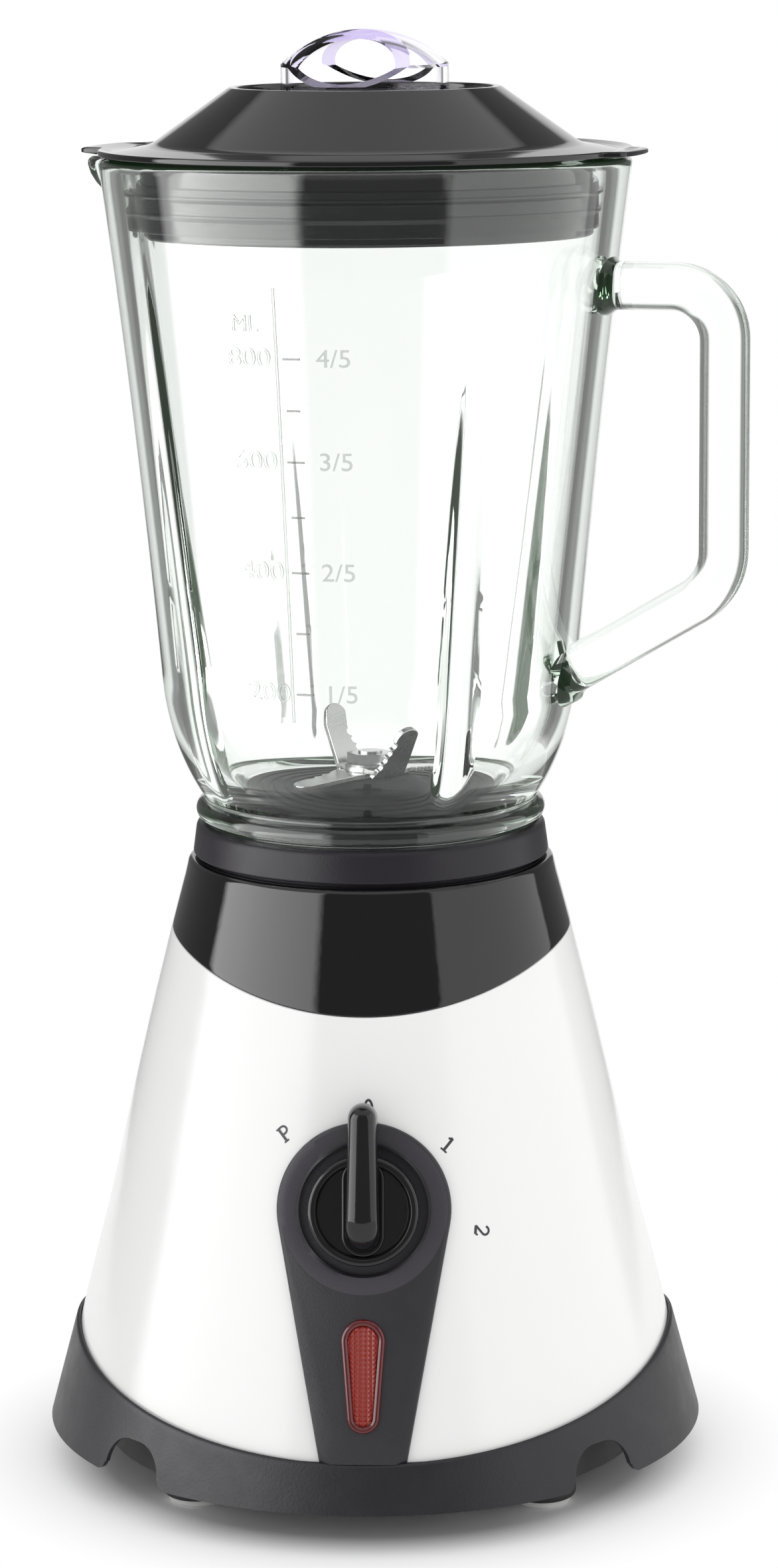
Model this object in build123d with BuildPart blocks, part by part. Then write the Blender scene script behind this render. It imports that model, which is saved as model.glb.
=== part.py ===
from build123d import *
import os
from math import asin, atan2, cos, degrees, hypot, radians, sin, sqrt, tan

# Countertop blender with a glass jar, a tapered motor base and a rotary switch.
# Millimetres and degrees. Z is up from the table, Z runs along the drive axis, and the front faces -Y.

# Clearances
seat_gap = 0.1
press_gap = 0.02
bearing_gap = 0.05
slide_gap = 0.5
rim_gap = 0.3
over_cut = 5.0

# Feet and bottom pan
foot_count = 4
foot_angle = 45.0
pad_radius = 7.1
pad_height = 1.5
pad_edge = 0.4
pad_stem_radius = 3.2
pad_stem_height = 3.0
post_radius = 8.5
post_height = 5.7
post_edge = 1.4
cord_channel = 13.7
pan_wall = 2.2
pan_flange_width = 4.5
vent_count = 16
vent_margin = 4.7
vent_length = 18.0
vent_width = 3.4
gland_bore_radius = 3.4
gland_radius = 5.2
gland_flange_radius = 6.6
gland_flange = 1.4

# Base skirt
skirt_lift = 2.8
skirt_radius = 82.7
skirt_flare = 15.0
skirt_wall = 2.2
skirt_front_height = 11.7
skirt_side_height = 26.0
skirt_curve_margin = 4.27
ledge_thickness = 1.6
notch_count = 4
notch_width = 20.0
notch_height = 9.7
notch_top_fillet = 7.8
notch_foot_fillet = 2.6
notch_lean = 0.6

# White housing and gloss black top cover share one bulged cone
shell_inset = 8.3
cover_rim = 3.6
shell_height = 128.8
shell_bulge = 1.75
housing_wall = 2.6
cover_front_height = 25.6
parting_curve_radius = 111.0
lip_wall = 1.6
lip_drop = 5.0
boss_count = 4
boss_angle = 22.5
boss_radius = 4.5
boss_top_rise = 44.0
screw_radius = 1.9
screw_head_radius = 3.6
screw_head = 2.2
screw_grip = 14.0

# Socket for the jar and well for the couplings
shoulder_rise = 4.0
shoulder_fillet = 4.5
cover_web = 2.4
socket_depth = 6.5
well_radius = 20.0
well_depth = 14.0
lug_count = 4
lug_angle = 45.0
lug_width = 6.0
lug_depth = 1.2
lug_height = 3.4

# Control panel, knob, switch and pilot lamp
knob_rise = 58.5
panel_thickness = 1.8
panel_radius = 21.0
panel_foot_width = 20.8
cup_radius = 15.6
cup_wall = 1.6
cup_depth = 2.7
knob_radius = 13.3
knob_height = 5.6
knob_wall = 1.9
knob_roof = 2.2
knob_dish_radius = 11.4
knob_dish = 1.2
knob_edge = 1.0
grip_width = 7.4
grip_height = 12.6
grip_tail = 10.8
grip_reach = 25.4
grip_edge = 2.4
spindle_radius = 2.5
spindle_length = 14.0
spindle_rise = 8.0
switch_side = 24.0
switch_depth = 18.0
switch_bush_radius = 4.8
switch_bush_length = 3.4
switch_nut_width = 12.6
switch_nut_height = 1.5
lens_top_radius = 5.3
lens_foot_radius = 3.9
lens_top_drop = 31.2
lens_foot_drop = 49.2
lens_proud = 0.9
lens_edge = 0.7
lens_lip = 2.0
lamp_radius = 2.4
lamp_length = 12.0
lamp_depth = 9.0
lamp_wall = 1.4

# Couplings and blade unit
star_reach = 10.2
star_width = 5.4
star_height = 6.0
star_gap = 0.5
coupling_disc = 1.8
coupling_disc_radius = 12.6
coupling_web = 3.6
coupling_radius = 14.5
blade_shaft_radius = 4.0
blade_stud_radius = 3.0
bush_radius = 6.4
bush_length = 6.5
seal_height = 1.4
hub_radius = 10.0
hub_height = 26.1
hub_foot_radius = 15.0
holder_wall = 2.4
floor_rise = 22.5
gasket_height = 1.8
blade_turn = -50.4
blade_plate = 1.5
blade_bend = 8.0
blade_root_width = 9.5
blade_tip_width = 6.0
upper_arm_angle = 58.5
upper_arm_length = 16.8
lower_arm_angle = -7.0
lower_arm_length = 15.0
scallop_radius = 1.3
scallop_pitch = 2.7
scallop_bite = 0.9
washer_radius = 6.0
washer_height = 0.9
blade_nut_width = 10.0
blade_nut_height = 3.2
stud_end = 0.6

# Jar collar
collar_wall = 2.3
collar_step = 2.2
collar_draft = 1.1
collar_lip_gap = 1.0
collar_height = 8.1
collar_top_fillet = 2.2
collar_foot_edge = 0.6
collar_ledge = 2.4

# Glass jar
handle_turn = -16.0
neck_radius = 39.4
neck_wall = 5.9
bead_step = 4.1
bead_height = 5.9
bead_foot_step = 2.0
throat_step = 2.2
belly_swell = 11.8
belly_rise = 42.4
shoulder_tuck = 3.5
shoulder_mid_rise = 27.8
jar_flare = 13.8
jar_height = 172.4
jar_wall = 6.0
wall_hollow = 0.8
floor_glass = 1.5
rim_fillet = 1.6
rib_count = 4
rib_radius = 5.2
rib_depth = 4.5
rib_top_drop = 33.0
spout_radius = 14.0
spout_overhang = 6.2
spout_depth = 24.0
spout_wall = 4.6
handle_width = 14.0
handle_thickness = 11.5
handle_corner = 4.0
handle_span = 25.0
handle_top_drop = 30.0
handle_knee_drop = 101.5
handle_foot_drop = 125.8
handle_top_bend = 12.5
handle_knee_bend = 14.0
handle_root = 4.0

# Lid, lid seal and filler cap
brim_thickness = 1.6
brim_lift = 1.0
brim_flat = 3.0
lid_height = 17.0
lid_well_reach = 12.6
lid_cone_inset = 3.0
lid_cone_foot = 3.2
lid_wall = 2.2
lid_well_depth = 3.0
lid_well_wall = 1.8
lid_top_fillet = 0.7
lid_cone_fillet = 5.0
filler_radius = 19.3
filler_collar = 5.0
plug_gap = 3.5
plug_depth = 17.8
tab_width = 24.0
handle_tab = 4.0
spout_tab = 5.6
seal_wall = 1.1
seal_height_rise = 11.0
seal_foot_rise = 2.0
seal_lip = 0.8
seal_lip_rise = 5.4
seal_lip_pitch = 4.3
seal_lip_count = 2
cap_flange = 1.1
cap_straight = 8.4
cap_height = 16.8
cap_wall = 1.8
cap_floor = 1.8
cap_plug_depth = 19.0
cap_ridge = 4.8
cap_scoop_reach = 19.4
cap_scoop_foot = 3.4

# Motor
motor_shaft_radius = 4.0
shaft_hole_gap = 2.2
mount_spread = 15.5
mount_radius = 4.5
mount_height = 6.0
mount_boss_height = 6.0
motor_screw_radius = 2.0
motor_screw_grip = 5.0
plate_thickness = 3.0
plate_length = 66.0
plate_width = 60.0
plate_corner = 8.0
stud_spread_x = 27.0
stud_spread_y = 23.5
stud_radius = 2.0
leg_radius = 4.2
upper_leg = 14.0
lower_leg = 26.0
stack_height = 34.0
stator_bore_radius = 21.6
coil_inner_radius = 22.4
coil_outer_radius = 28.2
coil_overhang = 7.5
coil_span = 50.0
pole_span = 33.0
slot_gap_angle = 1.5
air_gap = 0.8
armature_slot_count = 12
armature_slot_width = 3.0
armature_slot_depth = 7.0
winding_radius = 17.5
winding_height = 8.0
winding_core_radius = 7.0
winding_edge = 2.5
commutator_radius = 11.5
commutator_height = 9.0
commutator_gap = 1.5
bearing_radius = 8.0
bearing_height = 9.0
bracket_hub_wall = 2.5
brush_width = 6.0
brush_length = 14.0
brush_gap = 0.1
brush_tube_wall = 1.0
brush_tube_length = 16.0
fan_radius = 33.0
fan_hub_radius = 8.0
fan_disc = 1.5
fan_height = 9.0
fan_blade = 1.4
fan_blade_count = 9
fan_gap = 3.0
shaft_tail = 2.5

# Heights, from the table up
pan_bottom = pad_height + post_height
pan_top = pan_bottom + pan_wall
skirt_bottom = pan_bottom + skirt_lift
ledge_top = skirt_bottom + skirt_front_height
ledge_bottom = ledge_top - ledge_thickness
flange_bottom = ledge_bottom - pan_wall
skirt_top = skirt_bottom + skirt_side_height
housing_bottom = ledge_top
shell_top = housing_bottom + shell_height
cover_top = shell_top + shoulder_rise
socket_floor = cover_top - socket_depth
web_bottom = socket_floor - cover_web
well_floor = socket_floor - well_depth
well_bottom = well_floor - cover_web
parting_front = shell_top - cover_front_height
knob_z = housing_bottom + knob_rise
disc_bottom = well_floor + slide_gap
disc_top = disc_bottom + coupling_disc
star_top = disc_top + star_height
driven_bottom = disc_top + star_gap
driven_ceiling = star_top + star_gap
driven_top = driven_ceiling + coupling_web
hub_bottom = driven_top + slide_gap
hub_top = hub_bottom + hub_height
ledge_of_collar = socket_floor + collar_ledge
gasket_bottom = ledge_of_collar + holder_wall
glass_bottom = gasket_bottom + gasket_height
jar_floor = hub_bottom + floor_rise
collar_lip = cover_top + collar_lip_gap
collar_top = collar_lip + collar_height
bead_bottom = collar_top + rim_gap
bead_top = bead_bottom + bead_height
rim_top = glass_bottom + jar_height
belly_z = glass_bottom + belly_rise
shoulder_mid_z = glass_bottom + shoulder_mid_rise
lid_top = rim_top + lid_height
lid_well_floor = lid_top - lid_well_depth
blade_seat = hub_top + slide_gap
upper_blade_bottom = blade_seat + blade_plate
washer_bottom = upper_blade_bottom + blade_plate
nut_bottom = washer_bottom + washer_height
stud_top = nut_bottom + blade_nut_height + stud_end
mount_top = well_bottom - mount_boss_height
plate_top = mount_top - mount_height
plate_bottom = plate_top - plate_thickness
stack_top = plate_bottom - upper_leg
stack_bottom = stack_top - stack_height
lower_plate_top = stack_bottom - lower_leg
lower_plate_bottom = lower_plate_top - plate_thickness
fan_top = lower_plate_bottom - fan_gap
fan_bottom = fan_top - fan_height
shaft_bottom = fan_bottom - shaft_tail

# Radii that follow from the sizes above
pan_radius = skirt_radius - cord_channel
shell_foot_radius = skirt_radius - shell_inset
foot_ring_radius = pan_radius - post_radius - rim_gap
vent_ring_radius = foot_ring_radius - post_radius - vent_length / 2 - vent_margin
skirt_lean = tan(radians(skirt_flare))
skirt_top_radius = skirt_radius - skirt_lean * skirt_side_height
skirt_curve_width = skirt_top_radius + skirt_curve_margin
neck_bore_radius = neck_radius - neck_wall
throat_radius = neck_radius + throat_step
bead_radius = neck_radius + bead_step
bead_foot_radius = neck_radius + bead_foot_step
belly_radius = neck_radius + belly_swell
shoulder_mid_radius = belly_radius - shoulder_tuck
rim_radius = belly_radius + jar_flare
spout_reach = rim_radius + spout_overhang
handle_reach = rim_radius + handle_span
collar_bore_radius = neck_bore_radius - slide_gap
collar_foot_radius = neck_radius + slide_gap + collar_wall
collar_radius = collar_foot_radius + collar_step
plug_radius = rim_radius - jar_wall - plug_gap
lid_cone_radius = plug_radius - lid_cone_inset
cap_radius = filler_radius + cap_flange
lid_top_radius = cap_radius + lid_well_reach
handle_tab_reach = rim_radius + handle_tab
spout_tab_reach = rim_radius + spout_tab
socket_radius = collar_foot_radius + slide_gap
shell_top_radius = socket_radius + cover_rim
ledge_inner_radius = pan_radius + seat_gap
pan_flange_radius = pan_radius + pan_flange_width
shaft_hole_radius = motor_shaft_radius + shaft_hole_gap
cup_outer_radius = cup_radius + cup_wall
armature_radius = stator_bore_radius - air_gap
holder_body_radius = neck_bore_radius - slide_gap
plug_bore_radius = plug_radius - lid_wall
cap_plug_radius = filler_radius - slide_gap
bracket_hub_radius = bearing_radius + bracket_hub_wall

# The bulged cone: one large arc through the shell's foot and top
chord_length = hypot(shell_foot_radius - shell_top_radius, shell_height)
chord_normal_r = shell_height / chord_length
chord_normal_z = (shell_foot_radius - shell_top_radius) / chord_length
arc_radius = chord_length**2 / (8 * shell_bulge) + shell_bulge / 2
arc_centre_r = (shell_foot_radius + shell_top_radius) / 2 + chord_normal_r * (shell_bulge - arc_radius)
arc_centre_z = (housing_bottom + shell_top) / 2 + chord_normal_z * (shell_bulge - arc_radius)


def shell_radius(z, inset=0.0):
    """Radius of the bulged cone at height z, moved inward by inset."""
    return arc_centre_r + sqrt((arc_radius - inset) ** 2 - (z - arc_centre_z) ** 2)


def shell_band(low, high, outer_inset, inner_inset):
    """Half section of a skin of the bulged cone between two heights and two insets."""
    middle = (low + high) / 2
    with BuildSketch(Plane.XZ) as band:
        with BuildLine():
            outer = ThreePointArc(*[(shell_radius(z, outer_inset), z) for z in (low, middle, high)])
            inner = ThreePointArc(*[(shell_radius(z, inner_inset), z) for z in (low, middle, high)])
            Line(outer @ 0, inner @ 0)
            Line(outer @ 1, inner @ 1)
        make_face()
    return band.sketch


def turned(*points):
    """Half section with straight sides, for a turned piece."""
    with BuildSketch(Plane.XZ) as section:
        with BuildLine():
            Polyline(*points, close=True)
        make_face()
    return section.sketch


def disc(radius, height):
    """Flat round outline at a height."""
    with BuildSketch(Plane.XY.offset(height)) as outline:
        Circle(radius)
    return outline.sketch


def ring(outer, inner, height):
    """Flat ring outline at a height."""
    with BuildSketch(Plane.XY.offset(height)) as outline:
        Circle(outer)
        Circle(inner, mode=Mode.SUBTRACT)
    return outline.sketch


def radial_plane(angle):
    """Upright plane through the drive axis, with x running outward at an angle from +X."""
    outward = (cos(radians(angle)), sin(radians(angle)), 0)
    across = (sin(radians(angle)), -cos(radians(angle)), 0)
    return Plane(origin=(0, 0, 0), x_dir=outward, z_dir=across)


def facing_plane(angle, distance, height):
    """Upright plane square to a radius, at a distance from the axis, facing outward."""
    outward = (cos(radians(angle)), sin(radians(angle)), 0)
    along = (-sin(radians(angle)), cos(radians(angle)), 0)
    return Plane(origin=(distance * outward[0], distance * outward[1], height), x_dir=along, z_dir=outward)


def parting_disc(drop):
    """Large circle seen from the front, whose lowest point sits a drop below the parting line."""
    with BuildSketch(Plane.XZ.offset(-shell_foot_radius)) as circle:
        with Locations((0, parting_front + parting_curve_radius)):
            Circle(parting_curve_radius + drop)
    return circle.sketch


def drive_star(gap, height):
    """Six-lobed drive outline: three crossed slots, grown by a gap."""
    with BuildSketch(Plane.XY.offset(height)) as star:
        for turn in (0, 60, 120):
            SlotOverall(2 * (star_reach + gap), star_width + 2 * gap, rotation=turn)
    return star.sketch


def hexagon(width, height):
    """Hexagon across its flats at a height."""
    with BuildSketch(Plane.XY.offset(height)) as outline:
        RegularPolygon(width / 2, 6, major_radius=False)
    return outline.sketch


# The knob's axis stands square to the cone at the front
knob_tilt = degrees(asin((knob_z - arc_centre_z) / arc_radius))
knob_plane = Plane(
    origin=(0, -shell_radius(knob_z), knob_z),
    x_dir=(1, 0, 0),
    z_dir=(0, -cos(radians(knob_tilt)), sin(radians(knob_tilt))),
)
knob_axis = Axis(knob_plane.origin, knob_plane.z_dir)
panel_foot_v = -(knob_rise - slide_gap) / cos(radians(knob_tilt))


def lens_outline(gap, level):
    """Tapered outline of the lamp lens with round ends, grown by a gap, at a level over the cone."""
    with BuildSketch(knob_plane.offset(level)) as outline:
        with Locations((0, -lens_top_drop)):
            Circle(lens_top_radius + gap)
        with Locations((0, -lens_foot_drop)):
            Circle(lens_foot_radius + gap)
        make_hull()
    return outline.sketch


# Foot pads: four soft discs, each with a stem pressed into a foot post
with BuildPart() as foot_pads:
    with BuildSketch(Plane.XY):
        with PolarLocations(foot_ring_radius, foot_count, start_angle=foot_angle):
            Circle(pad_radius)
    extrude(amount=pad_height)
    chamfer(foot_pads.edges().group_by(Axis.Z)[0], pad_edge)
    with BuildSketch(Plane.XY.offset(pad_height)):
        with PolarLocations(foot_ring_radius, foot_count, start_angle=foot_angle):
            Circle(pad_stem_radius)
    extrude(amount=pad_stem_height)

# Bottom pan: closes the housing, carries the foot posts and lets cooling air in
boss_ring_radius = shell_radius(housing_bottom + boss_top_rise, housing_wall / 2) - boss_radius
with BuildPart() as bottom_pan:
    revolve(turned(
        (0, pan_bottom),
        (pan_radius, pan_bottom),
        (pan_radius, flange_bottom),
        (pan_flange_radius, flange_bottom),
        (pan_flange_radius, ledge_bottom),
        (pan_radius - pan_wall, ledge_bottom),
        (pan_radius - pan_wall, pan_top),
        (0, pan_top),
    ))
    with BuildSketch(Plane.XY.offset(pad_height)) as posts:
        with PolarLocations(foot_ring_radius, foot_count, start_angle=foot_angle):
            Circle(post_radius)
    extrude(amount=post_height)
    fillet(bottom_pan.edges().group_by(Axis.Z)[0], post_edge)
    with BuildSketch(Plane.XY.offset(pad_height)):
        with PolarLocations(foot_ring_radius, foot_count, start_angle=foot_angle):
            Circle(pad_stem_radius + seat_gap)
    extrude(amount=pad_stem_height + seat_gap, mode=Mode.SUBTRACT)
    with BuildSketch(Plane.XY.offset(pan_bottom)):
        with PolarLocations(vent_ring_radius, vent_count):
            SlotOverall(vent_length, vent_width)
        with PolarLocations(boss_ring_radius, boss_count, start_angle=boss_angle):
            Circle(screw_radius + seat_gap)
    extrude(amount=pan_wall, mode=Mode.SUBTRACT)
    with BuildSketch(Plane.XZ.offset(-pan_radius - over_cut)):
        with Locations((0, (pan_top + flange_bottom) / 2)):
            Circle(gland_radius + seat_gap)
    extrude(amount=pan_wall + 2 * over_cut, mode=Mode.SUBTRACT)

# Cord gland: a grommet in the back of the pan wall, where the supply cord would enter
gland_z = (pan_top + flange_bottom) / 2
gland_inside = pan_radius - pan_wall - gland_flange
with BuildPart() as cord_gland:
    with BuildSketch(Plane.XZ.offset(-gland_inside)):
        with Locations((0, gland_z)):
            Circle(min(gland_flange_radius, gland_z - pan_top - seat_gap))
    extrude(amount=-(gland_flange - seat_gap))
    with BuildSketch(Plane.XZ.offset(-gland_inside)):
        with Locations((0, gland_z)):
            Circle(gland_radius)
    extrude(amount=-(2 * gland_flange + pan_wall))
    with BuildSketch(Plane.XZ.offset(-gland_inside)):
        with Locations((0, gland_z)):
            Circle(gland_bore_radius)
    extrude(amount=-(2 * gland_flange + pan_wall), mode=Mode.SUBTRACT)

# Base skirt: flared ring whose top edge sweeps up at the sides, notched over each foot
skirt_cut_depth = skirt_wall / cos(radians(skirt_flare))
ledge_reach = skirt_radius - skirt_lean * (ledge_bottom - skirt_bottom) - skirt_cut_depth / 2
with BuildPart() as base_skirt:
    revolve(turned(
        (skirt_radius, skirt_bottom),
        (skirt_top_radius, skirt_top),
        (skirt_top_radius - skirt_cut_depth, skirt_top),
        (skirt_radius - skirt_cut_depth, skirt_bottom),
    ))
    curve_rise = skirt_side_height - skirt_front_height
    curve_height = curve_rise / (1 - sqrt(1 - (skirt_top_radius / skirt_curve_width) ** 2))
    with BuildSketch(Plane.XZ.offset(-skirt_radius)):
        with Locations((0, ledge_top + curve_height)):
            Ellipse(skirt_curve_width, curve_height)
    extrude(amount=2 * skirt_radius, mode=Mode.SUBTRACT)
    extrude(ring(ledge_reach, ledge_inner_radius, ledge_bottom), amount=ledge_thickness)
    for notch in range(notch_count):
        notch_angle = foot_angle + notch * 360 / notch_count
        with BuildSketch(facing_plane(notch_angle, pan_flange_radius, skirt_bottom)):
            with BuildLine():
                half = notch_width / 2
                flare = half + 2 * notch_foot_fillet
                FilletPolyline(
                    (-flare, 0),
                    (-half, 0),
                    (-half + notch_lean, notch_height),
                    (half - notch_lean, notch_height),
                    (half, 0),
                    (flare, 0),
                    radius=[notch_foot_fillet, notch_top_fillet, notch_top_fillet, notch_foot_fillet],
                )
                Polyline((flare, 0), (flare, -over_cut), (-flare, -over_cut), (-flare, 0))
            make_face()
        extrude(amount=skirt_radius - pan_flange_radius + over_cut, mode=Mode.SUBTRACT)

# Main housing: thin white cone with four screw columns, cut for the panel's cup and the lamp
housing_ceiling = shell_top - shoulder_rise
with BuildPart() as main_housing:
    revolve(shell_band(housing_bottom, housing_ceiling, 0, housing_wall))
    extrude(parting_disc(0), amount=2 * shell_foot_radius, mode=Mode.SUBTRACT)
    with BuildSketch(Plane.XY.offset(pan_top)):
        with PolarLocations(boss_ring_radius, boss_count, start_angle=boss_angle):
            Circle(boss_radius)
    extrude(amount=housing_bottom + boss_top_rise - pan_top)
    with BuildSketch(Plane.XY.offset(pan_top)):
        with PolarLocations(boss_ring_radius, boss_count, start_angle=boss_angle):
            Circle(screw_radius + press_gap)
    extrude(amount=screw_grip + slide_gap, mode=Mode.SUBTRACT)
    with BuildSketch(knob_plane.offset(over_cut)):
        Circle(cup_outer_radius + seat_gap)
    extrude(amount=-(cup_outer_radius + over_cut), mode=Mode.SUBTRACT)
    extrude(lens_outline(-lens_lip, over_cut), amount=-(lamp_depth + over_cut), mode=Mode.SUBTRACT)

# Base screws: driven up through the pan floor into the housing's columns
with BuildPart() as base_screws:
    with BuildSketch(Plane.XY.offset(pan_bottom - screw_head)):
        with PolarLocations(boss_ring_radius, boss_count, start_angle=boss_angle):
            Circle(screw_head_radius)
    extrude(amount=screw_head)
    with BuildSketch(Plane.XY.offset(pan_bottom)):
        with PolarLocations(boss_ring_radius, boss_count, start_angle=boss_angle):
            Circle(screw_radius)
    extrude(amount=pan_wall + screw_grip)

# Top cover: gloss cap with the jar's socket, the coupling well and the motor bosses
with BuildPart() as cover_lip:
    revolve(shell_band(parting_front - 2 * lip_drop, web_bottom, housing_wall + seat_gap,
                       housing_wall + seat_gap + lip_wall))
    extrude(parting_disc(lip_drop), amount=2 * shell_foot_radius, mode=Mode.INTERSECT)
with BuildPart() as top_cover:
    with BuildSketch(Plane.XZ) as cover_section:
        with BuildLine():
            low = parting_front - lip_drop
            skin = ThreePointArc(*[(shell_radius(z), z) for z in (low, (low + shell_top) / 2, shell_top)])
            top_edge = (shell_top_radius - shoulder_rise * tan(radians(knob_tilt)), cover_top)
            under = housing_wall + seat_gap + lip_wall
            lining = ThreePointArc(*[
                (shell_radius(z, under), z) for z in (low, (low + web_bottom) / 2, web_bottom)
            ])
            Line(skin @ 1, top_edge)
            Polyline(
                top_edge,
                (socket_radius, cover_top),
                (socket_radius, socket_floor),
                (well_radius, socket_floor),
                (well_radius, well_floor),
                (shaft_hole_radius, well_floor),
                (shaft_hole_radius, well_bottom),
                (well_radius + cover_web, well_bottom),
                (well_radius + cover_web, web_bottom),
                lining @ 1,
            )
            Line(lining @ 0, skin @ 0)
        make_face()
        shoulder = cover_section.vertices().group_by(Axis.Y)[-1].sort_by(Axis.X)[-1]
        fillet(shoulder, min(shoulder_fillet, (top_edge[0] - socket_radius) * 0.9))
    revolve(axis=Axis.Z)
    extrude(parting_disc(0), amount=2 * shell_foot_radius, mode=Mode.INTERSECT)
    add(cover_lip.part)
    with BuildSketch(Plane.XY.offset(mount_top)):
        with GridLocations(2 * mount_spread, 2 * mount_spread, 2, 2):
            Circle(mount_radius)
    extrude(amount=mount_boss_height)
    with BuildSketch(Plane.XY.offset(mount_top)):
        with GridLocations(2 * mount_spread, 2 * mount_spread, 2, 2):
            Circle(motor_screw_radius + press_gap)
    extrude(amount=motor_screw_grip + slide_gap, mode=Mode.SUBTRACT)
    with BuildSketch(Plane.XY.offset(socket_floor)) as lugs:
        with PolarLocations(socket_radius, lug_count, start_angle=lug_angle):
            Rectangle(2 * lug_depth, lug_width)
    extrude(amount=lug_height)

# Control panel: matte plate that follows the cone, with a sunk cup for the knob and a lens window
with BuildPart() as panel_plate:
    revolve(shell_band(housing_bottom, shell_top, -panel_thickness, -seat_gap))
    with BuildSketch(knob_plane.offset(-shell_foot_radius / 2)):
        Circle(panel_radius)
        with Locations((0, panel_foot_v)):
            Rectangle(panel_foot_width, seat_gap, align=(Align.CENTER, Align.MIN))
        make_hull()
    extrude(amount=shell_foot_radius, mode=Mode.INTERSECT)
with BuildPart() as control_panel:
    revolve(shell_band(housing_bottom, shell_top, -panel_thickness, shell_top_radius / 2))
    with BuildSketch(knob_plane.offset(-cup_depth)):
        Circle(cup_outer_radius)
    extrude(amount=shell_foot_radius, mode=Mode.INTERSECT)
    add(panel_plate.part)
    with BuildSketch(knob_plane.offset(cup_wall - cup_depth)):
        Circle(cup_radius)
    extrude(amount=shell_foot_radius, mode=Mode.SUBTRACT)
    with BuildSketch(knob_plane.offset(-cup_depth)):
        Circle(switch_bush_radius + seat_gap)
    extrude(amount=shell_foot_radius, mode=Mode.SUBTRACT)
    extrude(lens_outline(seat_gap, -lamp_depth), amount=shell_foot_radius, mode=Mode.SUBTRACT)

# Lamp lens: red window that stands a little proud of the panel
with BuildPart() as lamp_lens:
    revolve(shell_band(housing_bottom, knob_z, -panel_thickness - lens_proud, -seat_gap))
    extrude(lens_outline(0, -shell_foot_radius / 2), amount=shell_foot_radius, mode=Mode.INTERSECT)
    lens_faces = lamp_lens.faces().sort_by(Axis.Y)
    fillet(lens_faces[0].edges(), lens_edge)

# Lamp holder and neon lamp behind the lens
lamp_drop = (lens_top_drop + lens_foot_drop) / 2
with BuildPart() as lamp_holder:
    revolve(shell_band(housing_bottom, knob_z, housing_wall + seat_gap, shell_top_radius / 2))
    with BuildSketch(knob_plane.offset(-lamp_depth - 2 * lamp_wall - housing_wall)):
        with Locations((0, -lamp_drop)):
            RectangleRounded(2 * lens_top_radius, 2 * lamp_length, lamp_wall)
    extrude(amount=shell_foot_radius, mode=Mode.INTERSECT)
    with BuildSketch(knob_plane.offset(-lamp_depth - lamp_wall)):
        with Locations((0, -lamp_drop)):
            RectangleRounded(2 * (lens_top_radius - lamp_wall), 2 * (lamp_length - lamp_wall), lamp_wall)
    extrude(amount=shell_foot_radius, mode=Mode.SUBTRACT)
with BuildPart() as neon_lamp:
    with BuildSketch(knob_plane.offset(-lamp_depth - lamp_wall + seat_gap + lamp_radius)):
        with Locations((0, -lamp_drop)):
            SlotOverall(lamp_length, 2 * lamp_radius, rotation=90)
    extrude(amount=lamp_radius - seat_gap, both=True)

# Rotary switch: body behind the panel's cup, with its threaded bush through the cup's floor
with BuildPart() as switch_body:
    with BuildSketch(knob_plane.offset(-cup_depth)):
        RectangleRounded(switch_side, switch_side, grip_edge)
    extrude(amount=-switch_depth)
    with BuildSketch(knob_plane.offset(-cup_depth)):
        Circle(switch_bush_radius)
    extrude(amount=switch_bush_length)
    with BuildSketch(knob_plane.offset(switch_bush_length - cup_depth)):
        Circle(spindle_radius + bearing_gap)
    extrude(amount=-spindle_length, mode=Mode.SUBTRACT)
with BuildPart() as switch_nut:
    with BuildSketch(knob_plane.offset(cup_wall - cup_depth)):
        RegularPolygon(switch_nut_width / 2, 6, major_radius=False)
        Circle(switch_bush_radius + press_gap, mode=Mode.SUBTRACT)
    extrude(amount=switch_nut_height)

# Selector knob: dished disc with a long bar grip, pressed on the switch spindle
bush_top = switch_bush_length - cup_depth
knob_foot = cup_wall - cup_depth + slide_gap
knob_face = knob_foot + knob_height
dish_floor = knob_face - knob_dish
knob_ceiling = dish_floor - knob_roof
grip_foot = dish_floor - knob_roof / 3
hub_foot = bush_top + slide_gap
with BuildPart() as selector_knob:
    with BuildSketch(knob_plane.offset(knob_foot)):
        Circle(knob_radius)
    extrude(amount=knob_height)
    fillet(selector_knob.edges().sort_by(knob_axis)[-1], knob_edge)
    with BuildSketch(knob_plane.offset(dish_floor)):
        Circle(knob_dish_radius)
    extrude(amount=knob_dish, mode=Mode.SUBTRACT)
    with BuildSketch(knob_plane.offset(knob_foot)):
        Circle(knob_radius - knob_wall)
    extrude(amount=knob_ceiling - knob_foot, mode=Mode.SUBTRACT)
    with BuildSketch(knob_plane.offset(grip_foot)):
        with Locations((0, (grip_reach - grip_tail) / 2)):
            RectangleRounded(grip_width, grip_reach + grip_tail, grip_width / 2 - seat_gap)
    extrude(amount=grip_height - grip_foot)
    fillet(selector_knob.faces().sort_by(knob_axis)[-1].edges(), grip_edge)
    with BuildSketch(knob_plane.offset(hub_foot)):
        Circle(spindle_radius + knob_wall)
    extrude(amount=dish_floor - hub_foot)
    with BuildSketch(knob_plane.offset(hub_foot)):
        Circle(spindle_radius + press_gap)
    extrude(amount=spindle_rise - hub_foot, mode=Mode.SUBTRACT)
with BuildPart() as switch_spindle:
    with BuildSketch(knob_plane.offset(spindle_rise - seat_gap)):
        Circle(spindle_radius)
    extrude(amount=-(spindle_rise - bush_top + spindle_length - slide_gap))

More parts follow.
